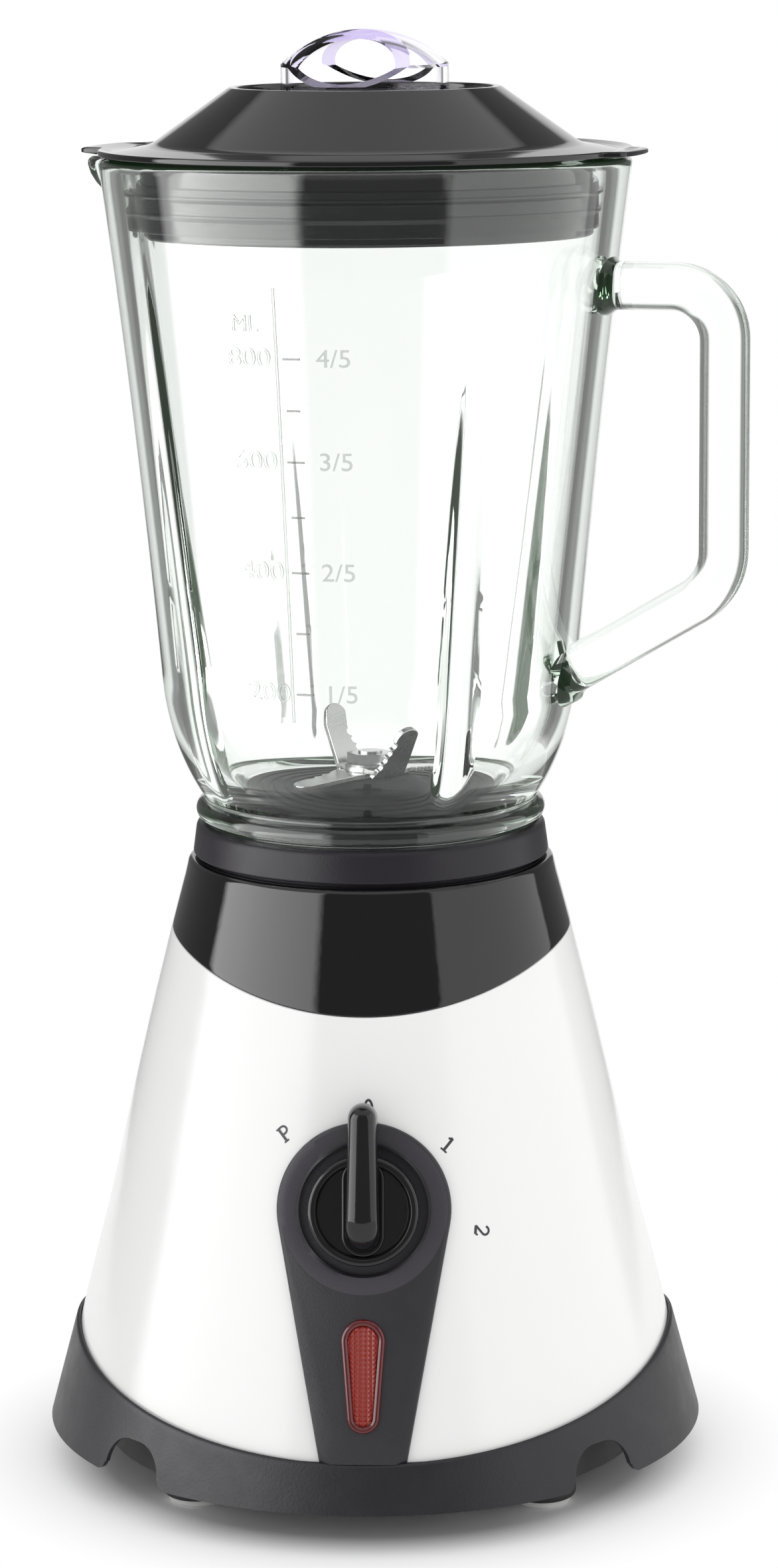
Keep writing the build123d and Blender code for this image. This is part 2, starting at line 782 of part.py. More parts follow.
# Drive coupling: six-lobed star on the motor shaft
with BuildPart() as drive_coupling:
    extrude(disc(coupling_disc_radius, disc_bottom), amount=coupling_disc)
    extrude(drive_star(0, disc_top), amount=star_height)
    extrude(disc(motor_shaft_radius + press_gap, disc_bottom), amount=coupling_disc + star_height / 2,
            mode=Mode.SUBTRACT)

# Driven coupling: cup under the jar with a socket for the star
with BuildPart() as driven_coupling:
    extrude(disc(coupling_radius, driven_bottom), amount=driven_top - driven_bottom)
    extrude(drive_star(star_gap, driven_bottom), amount=driven_ceiling - driven_bottom, mode=Mode.SUBTRACT)
    extrude(disc(blade_stud_radius + press_gap, driven_ceiling), amount=coupling_web, mode=Mode.SUBTRACT)

# Blade shaft, with its two bushes and lip seal in the holder's hub
with BuildPart() as blade_shaft:
    revolve(turned(
        (0, driven_ceiling + seat_gap),
        (blade_stud_radius, driven_ceiling + seat_gap),
        (blade_stud_radius, driven_top),
        (blade_shaft_radius, driven_top),
        (blade_shaft_radius, blade_seat),
        (blade_stud_radius, blade_seat),
        (blade_stud_radius, stud_top),
        (0, stud_top),
    ))
with BuildPart() as lower_bush:
    extrude(ring(bush_radius - press_gap, blade_shaft_radius + bearing_gap, hub_bottom), amount=bush_length)
with BuildPart() as upper_bush:
    extrude(ring(bush_radius - press_gap, blade_shaft_radius + bearing_gap, hub_top - seal_height - bush_length),
            amount=bush_length)
with BuildPart() as shaft_seal:
    extrude(ring(bush_radius - press_gap, blade_shaft_radius + bearing_gap, hub_top - seal_height),
            amount=seal_height)

# Blade holder: the jar's floor, with a flange that the collar clamps and a hub for the shaft
with BuildPart() as blade_holder:
    revolve(turned(
        (bush_radius, hub_bottom),
        (hub_radius, hub_bottom),
        (hub_radius, jar_floor - holder_wall),
        (holder_body_radius - holder_wall, jar_floor - holder_wall),
        (holder_body_radius - holder_wall, ledge_of_collar),
        (neck_radius, ledge_of_collar),
        (neck_radius, gasket_bottom),
        (holder_body_radius, gasket_bottom),
        (holder_body_radius, jar_floor),
        (hub_foot_radius, jar_floor),
        (hub_radius, hub_top),
        (bush_radius, hub_top),
    ))
    rim_edge = blade_holder.edges().filter_by(GeomType.CIRCLE).filter_by(
        lambda edge: abs(edge.radius - holder_body_radius) < press_gap
    ).sort_by(Axis.Z)[-1]
    fillet(rim_edge, holder_wall / 2)

# Jar gasket: soft ring between the holder's flange and the glass
with BuildPart() as jar_gasket:
    extrude(ring(neck_radius - slide_gap, neck_bore_radius + slide_gap, gasket_bottom), amount=gasket_height)


def blade_arm(turn, height, angle, length):
    """One serrated blade arm, bent up or down from the hub plate at an angle."""
    along = (cos(radians(turn)), sin(radians(turn)))
    rise = (cos(radians(angle)), sin(radians(angle)))
    arm_plane = Plane(
        origin=(blade_bend * along[0], blade_bend * along[1], height),
        x_dir=(rise[0] * along[0], rise[0] * along[1], rise[1]),
        z_dir=(-rise[1] * along[0], -rise[1] * along[1], rise[0]),
    )
    root = blade_root_width / 2
    tip = blade_tip_width / 2
    straight = length - tip
    with BuildSketch(arm_plane) as outline:
        with BuildLine():
            Polyline((straight, tip), (-blade_plate, root), (-blade_plate, -root), (straight, -tip))
            ThreePointArc((straight, -tip), (length, 0), (straight, tip))
        make_face()
        for bite in range(int((straight - scallop_pitch) / scallop_pitch)):
            reach = (bite + 1) * scallop_pitch
            edge = root + (tip - root) * (reach + blade_plate) / (straight + blade_plate)
            with Locations((reach, edge + scallop_radius - scallop_bite)):
                Circle(scallop_radius, mode=Mode.SUBTRACT)
    return outline.sketch


def blade_hub(turn, height):
    """Flat middle of a blade, with its hole for the stud."""
    with BuildSketch(Plane.XY.offset(height)) as plate:
        Rectangle(2 * blade_bend, blade_root_width, rotation=turn)
        Circle(washer_radius)
        Circle(blade_stud_radius + press_gap, mode=Mode.SUBTRACT)
    return plate.sketch


# Upper blade: two arms bent steeply up. Lower blade: two arms bent slightly down, a quarter turn on
with BuildPart() as upper_blade:
    extrude(blade_hub(blade_turn, upper_blade_bottom), amount=blade_plate)
    for half_turn in (0, 180):
        extrude(
            blade_arm(blade_turn + half_turn, upper_blade_bottom + blade_plate / 2, upper_arm_angle, upper_arm_length),
            amount=blade_plate / 2, both=True,
        )
with BuildPart() as lower_blade:
    extrude(blade_hub(blade_turn + 90, blade_seat), amount=blade_plate)
    for half_turn in (90, 270):
        extrude(
            blade_arm(blade_turn + half_turn, blade_seat + blade_plate / 2, lower_arm_angle, lower_arm_length),
            amount=blade_plate / 2, both=True,
        )
with BuildPart() as blade_washer:
    extrude(ring(washer_radius, blade_stud_radius + press_gap, washer_bottom), amount=washer_height)
with BuildPart() as blade_nut:
    extrude(hexagon(blade_nut_width, nut_bottom), amount=blade_nut_height)
    extrude(disc(blade_stud_radius + press_gap, nut_bottom), amount=blade_nut_height, mode=Mode.SUBTRACT)

# Jar collar: ring that screws on the glass neck, with a notched foot that drops into the socket
with BuildPart() as jar_collar:
    with BuildSketch(Plane.XZ) as collar_section:
        with BuildLine():
            Polyline(
                (collar_bore_radius, socket_floor),
                (collar_foot_radius, socket_floor),
                (collar_foot_radius, collar_lip),
                (collar_radius, collar_lip),
                (collar_radius - collar_draft, collar_top),
                (neck_radius + slide_gap, collar_top),
                (neck_radius + slide_gap, ledge_of_collar),
                (collar_bore_radius, ledge_of_collar),
                close=True,
            )
        make_face()
        fillet(collar_section.vertices().group_by(Axis.Y)[-1].sort_by(Axis.X)[-1], collar_top_fillet)
        fillet(collar_section.vertices().sort_by(Axis.X)[-1], collar_foot_edge)
    revolve(axis=Axis.Z)
    with BuildSketch(Plane.XY.offset(socket_floor)):
        with PolarLocations(socket_radius, lug_count, start_angle=lug_angle):
            Rectangle(2 * (lug_depth + slide_gap), lug_width + 2 * slide_gap)
    extrude(amount=lug_height + slide_gap, mode=Mode.SUBTRACT)

# Glass jar: pressed body with bead, shoulder and tapered wall, four inner ribs, spout and handle
belly_inner_radius = belly_radius - jar_wall
rim_inner_radius = rim_radius - jar_wall
wall_lean = (rim_inner_radius - belly_inner_radius) / (rim_top - belly_z)
handle_top_z = rim_top - handle_top_drop
handle_knee_z = rim_top - handle_knee_drop
handle_foot_z = rim_top - handle_foot_drop


def jar_inner_radius(z):
    """Radius of the jar's straight inner wall at height z."""
    return belly_inner_radius + wall_lean * (z - belly_z)


with BuildPart() as jar_cavity:
    with BuildSketch(Plane.XZ):
        with BuildLine():
            Polyline(
                (0, glass_bottom),
                (neck_bore_radius, glass_bottom),
                (neck_bore_radius, jar_floor + floor_glass),
            )
            inside = ThreePointArc(
                (neck_bore_radius, jar_floor + floor_glass),
                (shoulder_mid_radius - jar_wall, shoulder_mid_z),
                (belly_inner_radius, belly_z),
            )
            Polyline(
                inside @ 1,
                (jar_inner_radius(rim_top), rim_top),
                (0, rim_top),
                (0, glass_bottom),
            )
        make_face()
    revolve(axis=Axis.Z)
    rib_top_z = rim_top - rib_top_drop
    rib_low_r = jar_inner_radius(belly_z) + rib_radius - rib_depth
    rib_high_r = jar_inner_radius(rib_top_z) + rib_radius
    rib_lean = (rib_high_r - rib_low_r) / (rib_top_z - belly_z)
    rib_start_r = rib_low_r - rib_lean * (belly_z - glass_bottom)
    for rib in range(rib_count):
        rib_angle = radians(handle_turn + (rib + 0.5) * 360 / rib_count)
        rib_plane = Plane(
            origin=(rib_start_r * cos(rib_angle), rib_start_r * sin(rib_angle), glass_bottom),
            z_dir=(rib_lean * cos(rib_angle), rib_lean * sin(rib_angle), 1),
        )
        with BuildSketch(rib_plane):
            Circle(rib_radius)
        extrude(amount=jar_height, mode=Mode.SUBTRACT)
    spout_angle = handle_turn + 180
    spout_centre = spout_reach - spout_radius
    spout_out = (cos(radians(spout_angle)), sin(radians(spout_angle)))
    spout_foot = jar_inner_radius(rim_top - spout_depth) - spout_wall
    with BuildSketch(Plane(origin=(spout_centre * spout_out[0], spout_centre * spout_out[1], rim_top))):
        Circle(spout_radius - spout_wall)
    with BuildSketch(Plane(origin=(spout_foot * spout_out[0], spout_foot * spout_out[1], rim_top - spout_depth))):
        Circle(spout_wall / 2)
    loft()

with BuildPart() as spout_body:
    outer_foot = spout_foot + jar_wall
    with BuildSketch(Plane(origin=(spout_centre * spout_out[0], spout_centre * spout_out[1], rim_top))):
        Circle(spout_radius)
    with BuildSketch(Plane(origin=(outer_foot * spout_out[0], outer_foot * spout_out[1], rim_top - spout_depth))):
        Circle(spout_wall / 2)
    loft()
    fillet(spout_body.faces().sort_by(Axis.Z)[-1].edges(), rim_fillet)
with BuildPart() as glass_jar:
    with BuildSketch(Plane.XZ) as jar_section:
        with BuildLine():
            Polyline(
                (0, glass_bottom),
                (neck_radius, glass_bottom),
                (neck_radius, bead_bottom),
                (bead_foot_radius, bead_bottom),
            )
            bead = ThreePointArc(
                (bead_foot_radius, bead_bottom),
                (bead_radius, bead_bottom + bead_height / 2),
                (throat_radius, bead_top),
            )
            belly = ThreePointArc(bead @ 1, (shoulder_mid_radius, shoulder_mid_z), (belly_radius, belly_z))
            wall_mid = ((belly_radius + rim_radius) / 2 - wall_hollow, (belly_z + rim_top) / 2)
            wall = ThreePointArc(belly @ 1, wall_mid, (rim_radius, rim_top))
            Polyline(wall @ 1, (0, rim_top), (0, glass_bottom))
        make_face()
        fillet(jar_section.vertices().sort_by_distance((rim_radius, rim_top))[0], rim_fillet)
    revolve(axis=Axis.Z)
    add(spout_body.part)
    handle_start = rim_radius - jar_wall
    with BuildLine(radial_plane(handle_turn)) as handle_path:
        FilletPolyline(
            (handle_start, handle_top_z),
            (handle_reach, handle_top_z),
            (handle_reach, handle_knee_z),
            (belly_radius - jar_wall / 3, handle_foot_z),
            radius=[handle_top_bend, handle_knee_bend],
        )
    with BuildSketch(facing_plane(handle_turn, handle_start, handle_top_z)):
        RectangleRounded(handle_width, handle_thickness, handle_corner)
    sweep(path=handle_path.line)
    top_root = glass_jar.edges(Select.NEW).filter_by_position(Axis.Z, handle_knee_z, rim_top)
    fillet(top_root, handle_root)
    add(jar_cavity.part, mode=Mode.SUBTRACT)

# Lid: dished cone with a brim, two tabs, a plug that enters the jar and a filler hole
brim_bottom = rim_top
plug_bottom = rim_top - plug_depth
brim_tip = brim_bottom + brim_lift
cone_foot_z = brim_bottom + lid_cone_foot
cone_drop = (lid_top - cone_foot_z) / (lid_cone_radius - lid_top_radius)
under_corner_z = brim_bottom + lid_wall / 2
under_top_z = lid_well_floor - lid_wall
under_top_r = plug_bore_radius - (under_top_z - under_corner_z) / cone_drop
with BuildPart() as lid:
    with BuildSketch(Plane.XZ) as lid_section:
        with BuildLine():
            Polyline(
                (filler_radius, lid_well_floor),
                (lid_top_radius - lid_well_wall, lid_well_floor),
                (lid_top_radius - lid_well_wall, lid_top),
                (lid_top_radius, lid_top),
                (lid_cone_radius, cone_foot_z),
                (rim_radius - brim_flat, brim_bottom + brim_thickness),
                (rim_radius, brim_tip + brim_thickness),
                (rim_radius, brim_tip),
                (rim_radius - brim_flat, brim_bottom),
                (plug_radius, brim_bottom),
                (plug_radius, plug_bottom),
                (plug_bore_radius, plug_bottom),
                (plug_bore_radius, under_corner_z),
                (under_top_r, under_top_z),
                (filler_radius + lid_wall, under_top_z),
                (filler_radius + lid_wall, lid_well_floor - filler_collar),
                (filler_radius, lid_well_floor - filler_collar),
                close=True,
            )
        make_face()
        top_corners = lid_section.vertices().group_by(Axis.Y)[-1]
        fillet(top_corners, lid_top_fillet)
        cone_corner = lid_section.vertices().sort_by_distance((lid_cone_radius, cone_foot_z))[0]
        fillet(cone_corner, lid_cone_fillet)
    revolve(axis=Axis.Z)
    for tab_turn, tab_reach in ((handle_turn, handle_tab_reach), (handle_turn + 180, spout_tab_reach)):
        with BuildSketch(Plane(origin=(0, 0, brim_tip), x_dir=radial_plane(tab_turn).x_dir, z_dir=(0, 0, 1))):
            with Locations(((tab_reach + rim_radius - brim_flat) / 2, 0)):
                RectangleRounded(tab_reach - rim_radius + brim_flat, tab_width, brim_flat - slide_gap)
            Circle(rim_radius - slide_gap, mode=Mode.SUBTRACT)
        extrude(amount=brim_thickness)

# Lid seal: soft sleeve round the plug with two thin lips towards the glass
seal_bottom = plug_bottom + seal_foot_rise
with BuildPart() as lid_seal:
    extrude(ring(plug_radius + seat_gap + seal_wall, plug_radius + seat_gap, seal_bottom), amount=seal_height_rise)
    for lip in range(seal_lip_count):
        lip_z = plug_bottom + seal_lip_rise + lip * seal_lip_pitch
        extrude(
            ring(jar_inner_radius(lip_z) - rim_gap, plug_radius + seat_gap, lip_z),
            amount=seal_lip,
        )

# Filler cap: clear cup that plugs the filler hole, with an arched grip cut from a dome
dome_z = lid_well_floor + cap_straight
cap_top = lid_well_floor + cap_height
dome_rise = cap_height - cap_straight
dome_radius = (cap_radius**2 + dome_rise**2) / (2 * dome_rise)
inner_cap_radius = cap_radius - cap_wall
dome_centre_z = cap_top - dome_radius
inner_dome_z = dome_centre_z + sqrt((dome_radius - cap_wall) ** 2 - inner_cap_radius**2)
with BuildPart() as filler_cap:
    with BuildSketch(Plane.XZ):
        with BuildLine():
            Polyline((0, lid_well_floor), (cap_radius, lid_well_floor), (cap_radius, dome_z))
            dome_mid = radians(90 + degrees(atan2(dome_z - dome_centre_z, cap_radius))) / 2
            ThreePointArc(
                (cap_radius, dome_z),
                (dome_radius * cos(dome_mid), dome_centre_z + dome_radius * sin(dome_mid)),
                (0, cap_top),
            )
            Line((0, cap_top), (0, lid_well_floor))
        make_face()
    revolve(axis=Axis.Z)
    with BuildSketch(Plane.XZ):
        with BuildLine():
            Polyline(
                (0, lid_well_floor + cap_floor),
                (inner_cap_radius, lid_well_floor + cap_floor),
                (inner_cap_radius, inner_dome_z),
            )
            inner_mid = radians(90 + degrees(atan2(inner_dome_z - dome_centre_z, inner_cap_radius))) / 2
            ThreePointArc(
                (inner_cap_radius, inner_dome_z),
                (
                    (dome_radius - cap_wall) * cos(inner_mid),
                    dome_centre_z + (dome_radius - cap_wall) * sin(inner_mid),
                ),
                (0, cap_top - cap_wall),
            )
            Line((0, cap_top - cap_wall), (0, lid_well_floor + cap_floor))
        make_face()
    revolve(axis=Axis.Z, mode=Mode.SUBTRACT)
    for side in (90, 270):
        with BuildSketch(radial_plane(handle_turn + side).offset(-cap_radius)):
            with BuildLine():
                Polyline(
                    (cap_ridge / 2, cap_top + seat_gap),
                    (cap_scoop_reach, lid_well_floor + cap_scoop_foot),
                    (cap_radius + over_cut, lid_well_floor + cap_scoop_foot),
                    (cap_radius + over_cut, cap_top + seat_gap),
                    close=True,
                )
            make_face()
        extrude(amount=2 * cap_radius, mode=Mode.SUBTRACT)
    extrude(ring(cap_plug_radius, cap_plug_radius - cap_wall, lid_well_floor - cap_plug_depth), amount=cap_plug_depth)

# Motor shaft
shaft_top = disc_top + star_height / 2 - seat_gap
with BuildPart() as motor_shaft:
    extrude(disc(motor_shaft_radius, shaft_bottom), amount=shaft_top - shaft_bottom)


def plate_outline(height):
    """Outline of a motor bracket plate, with stud holes."""
    with BuildSketch(Plane.XY.offset(height)) as outline:
        RectangleRounded(plate_length, plate_width, plate_corner)
        with GridLocations(2 * stud_spread_x, 2 * stud_spread_y, 2, 2):
            Circle(stud_radius + seat_gap, mode=Mode.SUBTRACT)
    return outline.sketch


def stud_circles(radius, height):
    """Circles at the four motor studs."""
    with BuildSketch(Plane.XY.offset(height)) as circles:
        with GridLocations(2 * stud_spread_x, 2 * stud_spread_y, 2, 2):
            Circle(radius)
    return circles.sketch


def mount_circles(radius, height):
    """Circles at the four motor mounts."""
    with BuildSketch(Plane.XY.offset(height)) as circles:
        with GridLocations(2 * mount_spread, 2 * mount_spread, 2, 2):
            Circle(radius)
    return circles.sketch


def ring_sector(outer, inner, centre_angle, half_angle, height):
    """Ring sector about the drive axis."""
    with BuildSketch(Plane.XY.offset(height)) as sector:
        with BuildLine():
            rim = CenterArc((0, 0), outer, centre_angle - half_angle, 2 * half_angle)
            bore = CenterArc((0, 0), inner, centre_angle - half_angle, 2 * half_angle)
            Line(rim @ 0, bore @ 0)
            Line(rim @ 1, bore @ 1)
        make_face()
    return sector.sketch


# Motor brackets with their bearings
upper_bearing_bottom = plate_top - bearing_height
with BuildPart() as upper_bracket:
    extrude(plate_outline(plate_bottom), amount=plate_thickness)
    extrude(stud_circles(leg_radius, stack_top), amount=upper_leg)
    extrude(stud_circles(stud_radius + seat_gap, stack_top), amount=upper_leg, mode=Mode.SUBTRACT)
    extrude(disc(bracket_hub_radius, upper_bearing_bottom), amount=bearing_height)
    extrude(disc(bearing_radius, upper_bearing_bottom), amount=bearing_height, mode=Mode.SUBTRACT)
    extrude(mount_circles(motor_screw_radius + seat_gap, plate_bottom), amount=plate_thickness, mode=Mode.SUBTRACT)
with BuildPart() as upper_bearing:
    extrude(ring(bearing_radius - press_gap, motor_shaft_radius + bearing_gap, upper_bearing_bottom),
            amount=bearing_height)
with BuildPart() as lower_bracket:
    extrude(plate_outline(lower_plate_bottom), amount=plate_thickness)
    extrude(stud_circles(leg_radius, lower_plate_top), amount=lower_leg)
    extrude(stud_circles(stud_radius + seat_gap, lower_plate_top), amount=lower_leg, mode=Mode.SUBTRACT)
    extrude(disc(bracket_hub_radius, lower_plate_bottom), amount=bearing_height)
    extrude(disc(bearing_radius, lower_plate_bottom), amount=bearing_height, mode=Mode.SUBTRACT)
    brush_z = lower_plate_bottom + bearing_height + commutator_gap + commutator_height / 2
    tube_start = commutator_radius + commutator_gap
    tube_half = brush_width / 2 + brush_gap + brush_tube_wall
    with BuildSketch(Plane.XY.offset(lower_plate_top)):
        for side in (-1, 1):
            with Locations((0, side * (tube_start + brush_tube_length / 2))):
                Rectangle(2 * tube_half, brush_tube_length / 2)
    extrude(amount=brush_z - tube_half - lower_plate_top)
with BuildPart() as lower_bearing:
    extrude(ring(bearing_radius - press_gap, motor_shaft_radius + bearing_gap, lower_plate_bottom),
            amount=bearing_height)

# Brush holders and carbon brushes on either side of the commutator
with BuildPart() as brush_holders:
    for side in (0, 180):
        with BuildSketch(facing_plane(90 + side, tube_start, brush_z)):
            Rectangle(2 * tube_half, 2 * tube_half)
            Rectangle(brush_width + 2 * brush_gap, brush_width + 2 * brush_gap, mode=Mode.SUBTRACT)
        extrude(amount=brush_tube_length)
with BuildPart() as carbon_brushes:
    for side in (0, 180):
        with BuildSketch(facing_plane(90 + side, commutator_radius + 2 * brush_gap, brush_z)):
            Rectangle(brush_width, brush_width)
        extrude(amount=brush_length)

# Stator stack with two field coils on its poles
with BuildPart() as stator_core:
    extrude(plate_outline(stack_bottom), amount=stack_height)
    extrude(disc(stator_bore_radius, stack_bottom), amount=stack_height, mode=Mode.SUBTRACT)
    window_middle = (coil_span + pole_span) / 2
    window_half = (coil_span - pole_span) / 2 + slot_gap_angle
    for pole in (0, 180):
        for flank in (-1, 1):
            extrude(
                ring_sector(coil_outer_radius + seat_gap, stator_bore_radius - air_gap,
                            pole + flank * window_middle, window_half, stack_bottom),
                amount=stack_height, mode=Mode.SUBTRACT,
            )
with BuildPart() as field_coils:
    for pole in (0, 180):
        extrude(
            ring_sector(coil_outer_radius, coil_inner_radius, pole, coil_span, stack_bottom - coil_overhang),
            amount=stack_height + 2 * coil_overhang,
        )
    for pole in (0, 180):
        extrude(
            ring_sector(coil_outer_radius + over_cut, coil_inner_radius - over_cut, pole, pole_span,
                        stack_bottom - seat_gap),
            amount=stack_height + 2 * seat_gap, mode=Mode.SUBTRACT,
        )

# Rotor: slotted armature core, end windings, commutator and cooling fan
with BuildPart() as armature_core:
    extrude(ring(armature_radius, motor_shaft_radius + press_gap, stack_bottom), amount=stack_height)
    with BuildSketch(Plane.XY.offset(stack_bottom)):
        with PolarLocations(armature_radius, armature_slot_count):
            Rectangle(2 * armature_slot_depth, armature_slot_width)
    extrude(amount=stack_height, mode=Mode.SUBTRACT)
with BuildPart() as armature_winding:
    for low in (stack_bottom - winding_height, stack_top):
        with BuildSketch(Plane.XZ) as end_turns:
            with Locations(((winding_radius + winding_core_radius) / 2, low + winding_height / 2)):
                RectangleRounded(winding_radius - winding_core_radius, winding_height, winding_edge)
        revolve(axis=Axis.Z)
with BuildPart() as commutator:
    extrude(
        ring(commutator_radius, motor_shaft_radius + press_gap, brush_z - commutator_height / 2),
        amount=commutator_height,
    )
with BuildPart() as cooling_fan:
    extrude(disc(fan_radius, fan_top - fan_disc), amount=fan_disc)
    extrude(disc(fan_hub_radius, fan_bottom), amount=fan_height)
    with BuildSketch(Plane.XY.offset(fan_bottom)):
        with PolarLocations((fan_radius + fan_hub_radius) / 2 - fan_blade, fan_blade_count):
            Rectangle(fan_radius - fan_hub_radius, fan_blade)
    extrude(amount=fan_height - fan_disc)
    extrude(disc(motor_shaft_radius + press_gap, fan_bottom), amount=fan_height, mode=Mode.SUBTRACT)

# Fasteners and rubber mounts that hang the motor under the top cover
with BuildPart() as motor_mounts:
    extrude(mount_circles(mount_radius, plate_top), amount=mount_height)
    extrude(mount_circles(motor_screw_radius + seat_gap, plate_top), amount=mount_height, mode=Mode.SUBTRACT)
with BuildPart() as motor_screws:
    extrude(mount_circles(screw_head_radius, plate_bottom - screw_head), amount=screw_head)
    extrude(mount_circles(motor_screw_radius, plate_bottom),
            amount=plate_thickness + mount_height + motor_screw_grip)
with BuildPart() as stator_studs:
    extrude(stud_circles(stud_radius, lower_plate_bottom), amount=plate_top - lower_plate_bottom)

pieces = {
    "foot_pads": foot_pads,
    "bottom_pan": bottom_pan,
    "cord_gland": cord_gland,
    "base_skirt": base_skirt,
    "main_housing": main_housing,
    "base_screws": base_screws,
    "top_cover": top_cover,
    "control_panel": control_panel,
    "lamp_lens": lamp_lens,
    "lamp_holder": lamp_holder,
    "neon_lamp": neon_lamp,
    "switch_body": switch_body,
    "switch_nut": switch_nut,
    "selector_knob": selector_knob,
    "switch_spindle": switch_spindle,
    "drive_coupling": drive_coupling,
    "driven_coupling": driven_coupling,
    "blade_shaft": blade_shaft,
    "lower_bush": lower_bush,
    "upper_bush": upper_bush,
    "shaft_seal": shaft_seal,
    "blade_holder": blade_holder,
    "jar_gasket": jar_gasket,
    "upper_blade": upper_blade,
    "lower_blade": lower_blade,
    "blade_washer": blade_washer,
    "blade_nut": blade_nut,
    "jar_collar": jar_collar,
    "glass_jar": glass_jar,
    "lid": lid,
    "lid_seal": lid_seal,
    "filler_cap": filler_cap,
    "motor_shaft": motor_shaft,
    "upper_bracket": upper_bracket,
    "upper_bearing": upper_bearing,
    "lower_bracket": lower_bracket,
    "lower_bearing": lower_bearing,
    "brush_holders": brush_holders,
    "carbon_brushes": carbon_brushes,
    "stator_core": stator_core,
    "field_coils": field_coils,
    "armature_core": armature_core,
    "armature_winding": armature_winding,
    "commutator": commutator,
    "cooling_fan": cooling_fan,
    "motor_mounts": motor_mounts,
    "motor_screws": motor_screws,
    "stator_studs": stator_studs,
}
os.makedirs("parts", exist_ok=True)
for name, piece in pieces.items():
    piece.part.label = name
    export_step(piece.part, f"parts/{name}.step")
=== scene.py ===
from itertools import pairwise
from math import acos, asin, atan2, copysign, cos, hypot, pi, radians, sin, sqrt, tan

import bmesh
import bpy
from mathutils import Matrix, Vector


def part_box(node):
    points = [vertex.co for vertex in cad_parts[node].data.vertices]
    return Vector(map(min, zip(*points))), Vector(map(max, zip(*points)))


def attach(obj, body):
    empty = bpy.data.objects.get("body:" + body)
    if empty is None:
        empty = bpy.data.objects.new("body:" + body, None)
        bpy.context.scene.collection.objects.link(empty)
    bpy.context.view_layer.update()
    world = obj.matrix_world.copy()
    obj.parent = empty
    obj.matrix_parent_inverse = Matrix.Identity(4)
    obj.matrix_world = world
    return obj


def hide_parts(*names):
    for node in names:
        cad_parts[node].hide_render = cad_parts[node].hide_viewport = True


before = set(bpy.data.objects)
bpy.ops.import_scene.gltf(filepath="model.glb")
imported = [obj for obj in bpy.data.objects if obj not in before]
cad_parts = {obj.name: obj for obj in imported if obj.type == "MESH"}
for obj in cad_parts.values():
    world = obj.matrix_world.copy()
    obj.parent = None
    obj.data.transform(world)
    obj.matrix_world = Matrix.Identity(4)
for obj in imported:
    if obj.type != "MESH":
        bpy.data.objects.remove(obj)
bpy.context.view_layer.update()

# Foot pads
# Four pale soft discs that the appliance stands on, each pressed into the foot post above it.
# They are moulded rubber with a fine matt skin and a small rounded edge.
MM = 0.001
FULL_TURN = 2 * pi


def solid(name, rows, loop=False, sharp=32):
    """Closed mesh object through rings of points in millimetres; loop joins the last ring to the first."""
    count = len(rows[0])
    points = [Vector(point) * MM for row in rows for point in row]
    faces = []
    for i in range(len(rows) if loop else len(rows) - 1):
        here = i * count
        above = (i + 1) % len(rows) * count
        for j in range(count):
            k = (j + 1) % count
            faces.append((here + j, here + k, above + k, above + j))
    if not loop:
        faces.append(tuple(range(count))[::-1])
        faces.append(tuple(range((len(rows) - 1) * count, len(rows) * count)))
    mesh = bpy.data.meshes.new(name)
    mesh.from_pydata(points, [], faces)
    work = bmesh.new()
    work.from_mesh(mesh)
    bmesh.ops.remove_doubles(work, verts=work.verts, dist=0.002 * MM)
    bmesh.ops.dissolve_degenerate(work, edges=work.edges, dist=0.001 * MM)
    bmesh.ops.recalc_face_normals(work, faces=work.faces)
    work.to_mesh(mesh)
    work.free()
    smooth(mesh, sharp)
    return placed(name, mesh)


def placed(name, data):
    """Object in the scene that holds a mesh, a lamp or a camera."""
    thing = bpy.data.objects.new(name, data)
    bpy.context.collection.objects.link(thing)
    return thing


def smooth(mesh, sharp=32):
    """Smooth shading that stays crisp at edges steeper than an angle."""
    mesh.shade_smooth()
    mesh.set_sharp_from_angle(angle=radians(sharp))


def arc_about(centre, first, last, steps):
    """Points on the shorter arc about a centre from a first to a last point."""
    spoke = Vector(first) - Vector(centre)
    end = Vector(last) - Vector(centre)
    start = atan2(spoke.y, spoke.x)
    sweep = (atan2(end.y, end.x) - start + pi) % FULL_TURN - pi
    return [
        (centre[0] + spoke.length * cos(start + sweep * step / steps),
         centre[1] + spoke.length * sin(start + sweep * step / steps))
        for step in range(steps + 1)
    ]


def rounded(*corners, steps=6):
    """Outline through (r, z, radius) corners, with an arc at each corner that has a radius."""
    outline = []
    for i, (r, z, radius) in enumerate(corners):
        here = Vector((r, z))
        back = Vector(corners[i - 1][:2]) - here
        ahead = Vector(corners[(i + 1) % len(corners)][:2]) - here
        if radius <= 0 or back.length < 1e-6 or ahead.length < 1e-6:
            outline.append((r, z))
            continue
        half = back.angle(ahead) / 2
        reach = min(radius / tan(half), back.length * 0.49, ahead.length * 0.49)
        true_radius = reach * tan(half)
        middle = here + (back.normalized() + ahead.normalized()).normalized() * (true_radius / sin(half))
        start = here + back.normalized() * reach
        outline += arc_about(middle, start, here + ahead.normalized() * reach, steps)
    return outline


def ring_points(radius, height, turns, centre=(0, 0)):
    """Circle of points about an upright axis."""
    angles = [FULL_TURN * j / turns for j in range(turns)]
    return [(centre[0] + radius * cos(a), centre[1] + radius * sin(a), height) for a in angles]


def polar(radius, angle, height):
    """Point at a radius, an angle from +X and a height."""
    return (radius * cos(angle), radius * sin(angle), height)


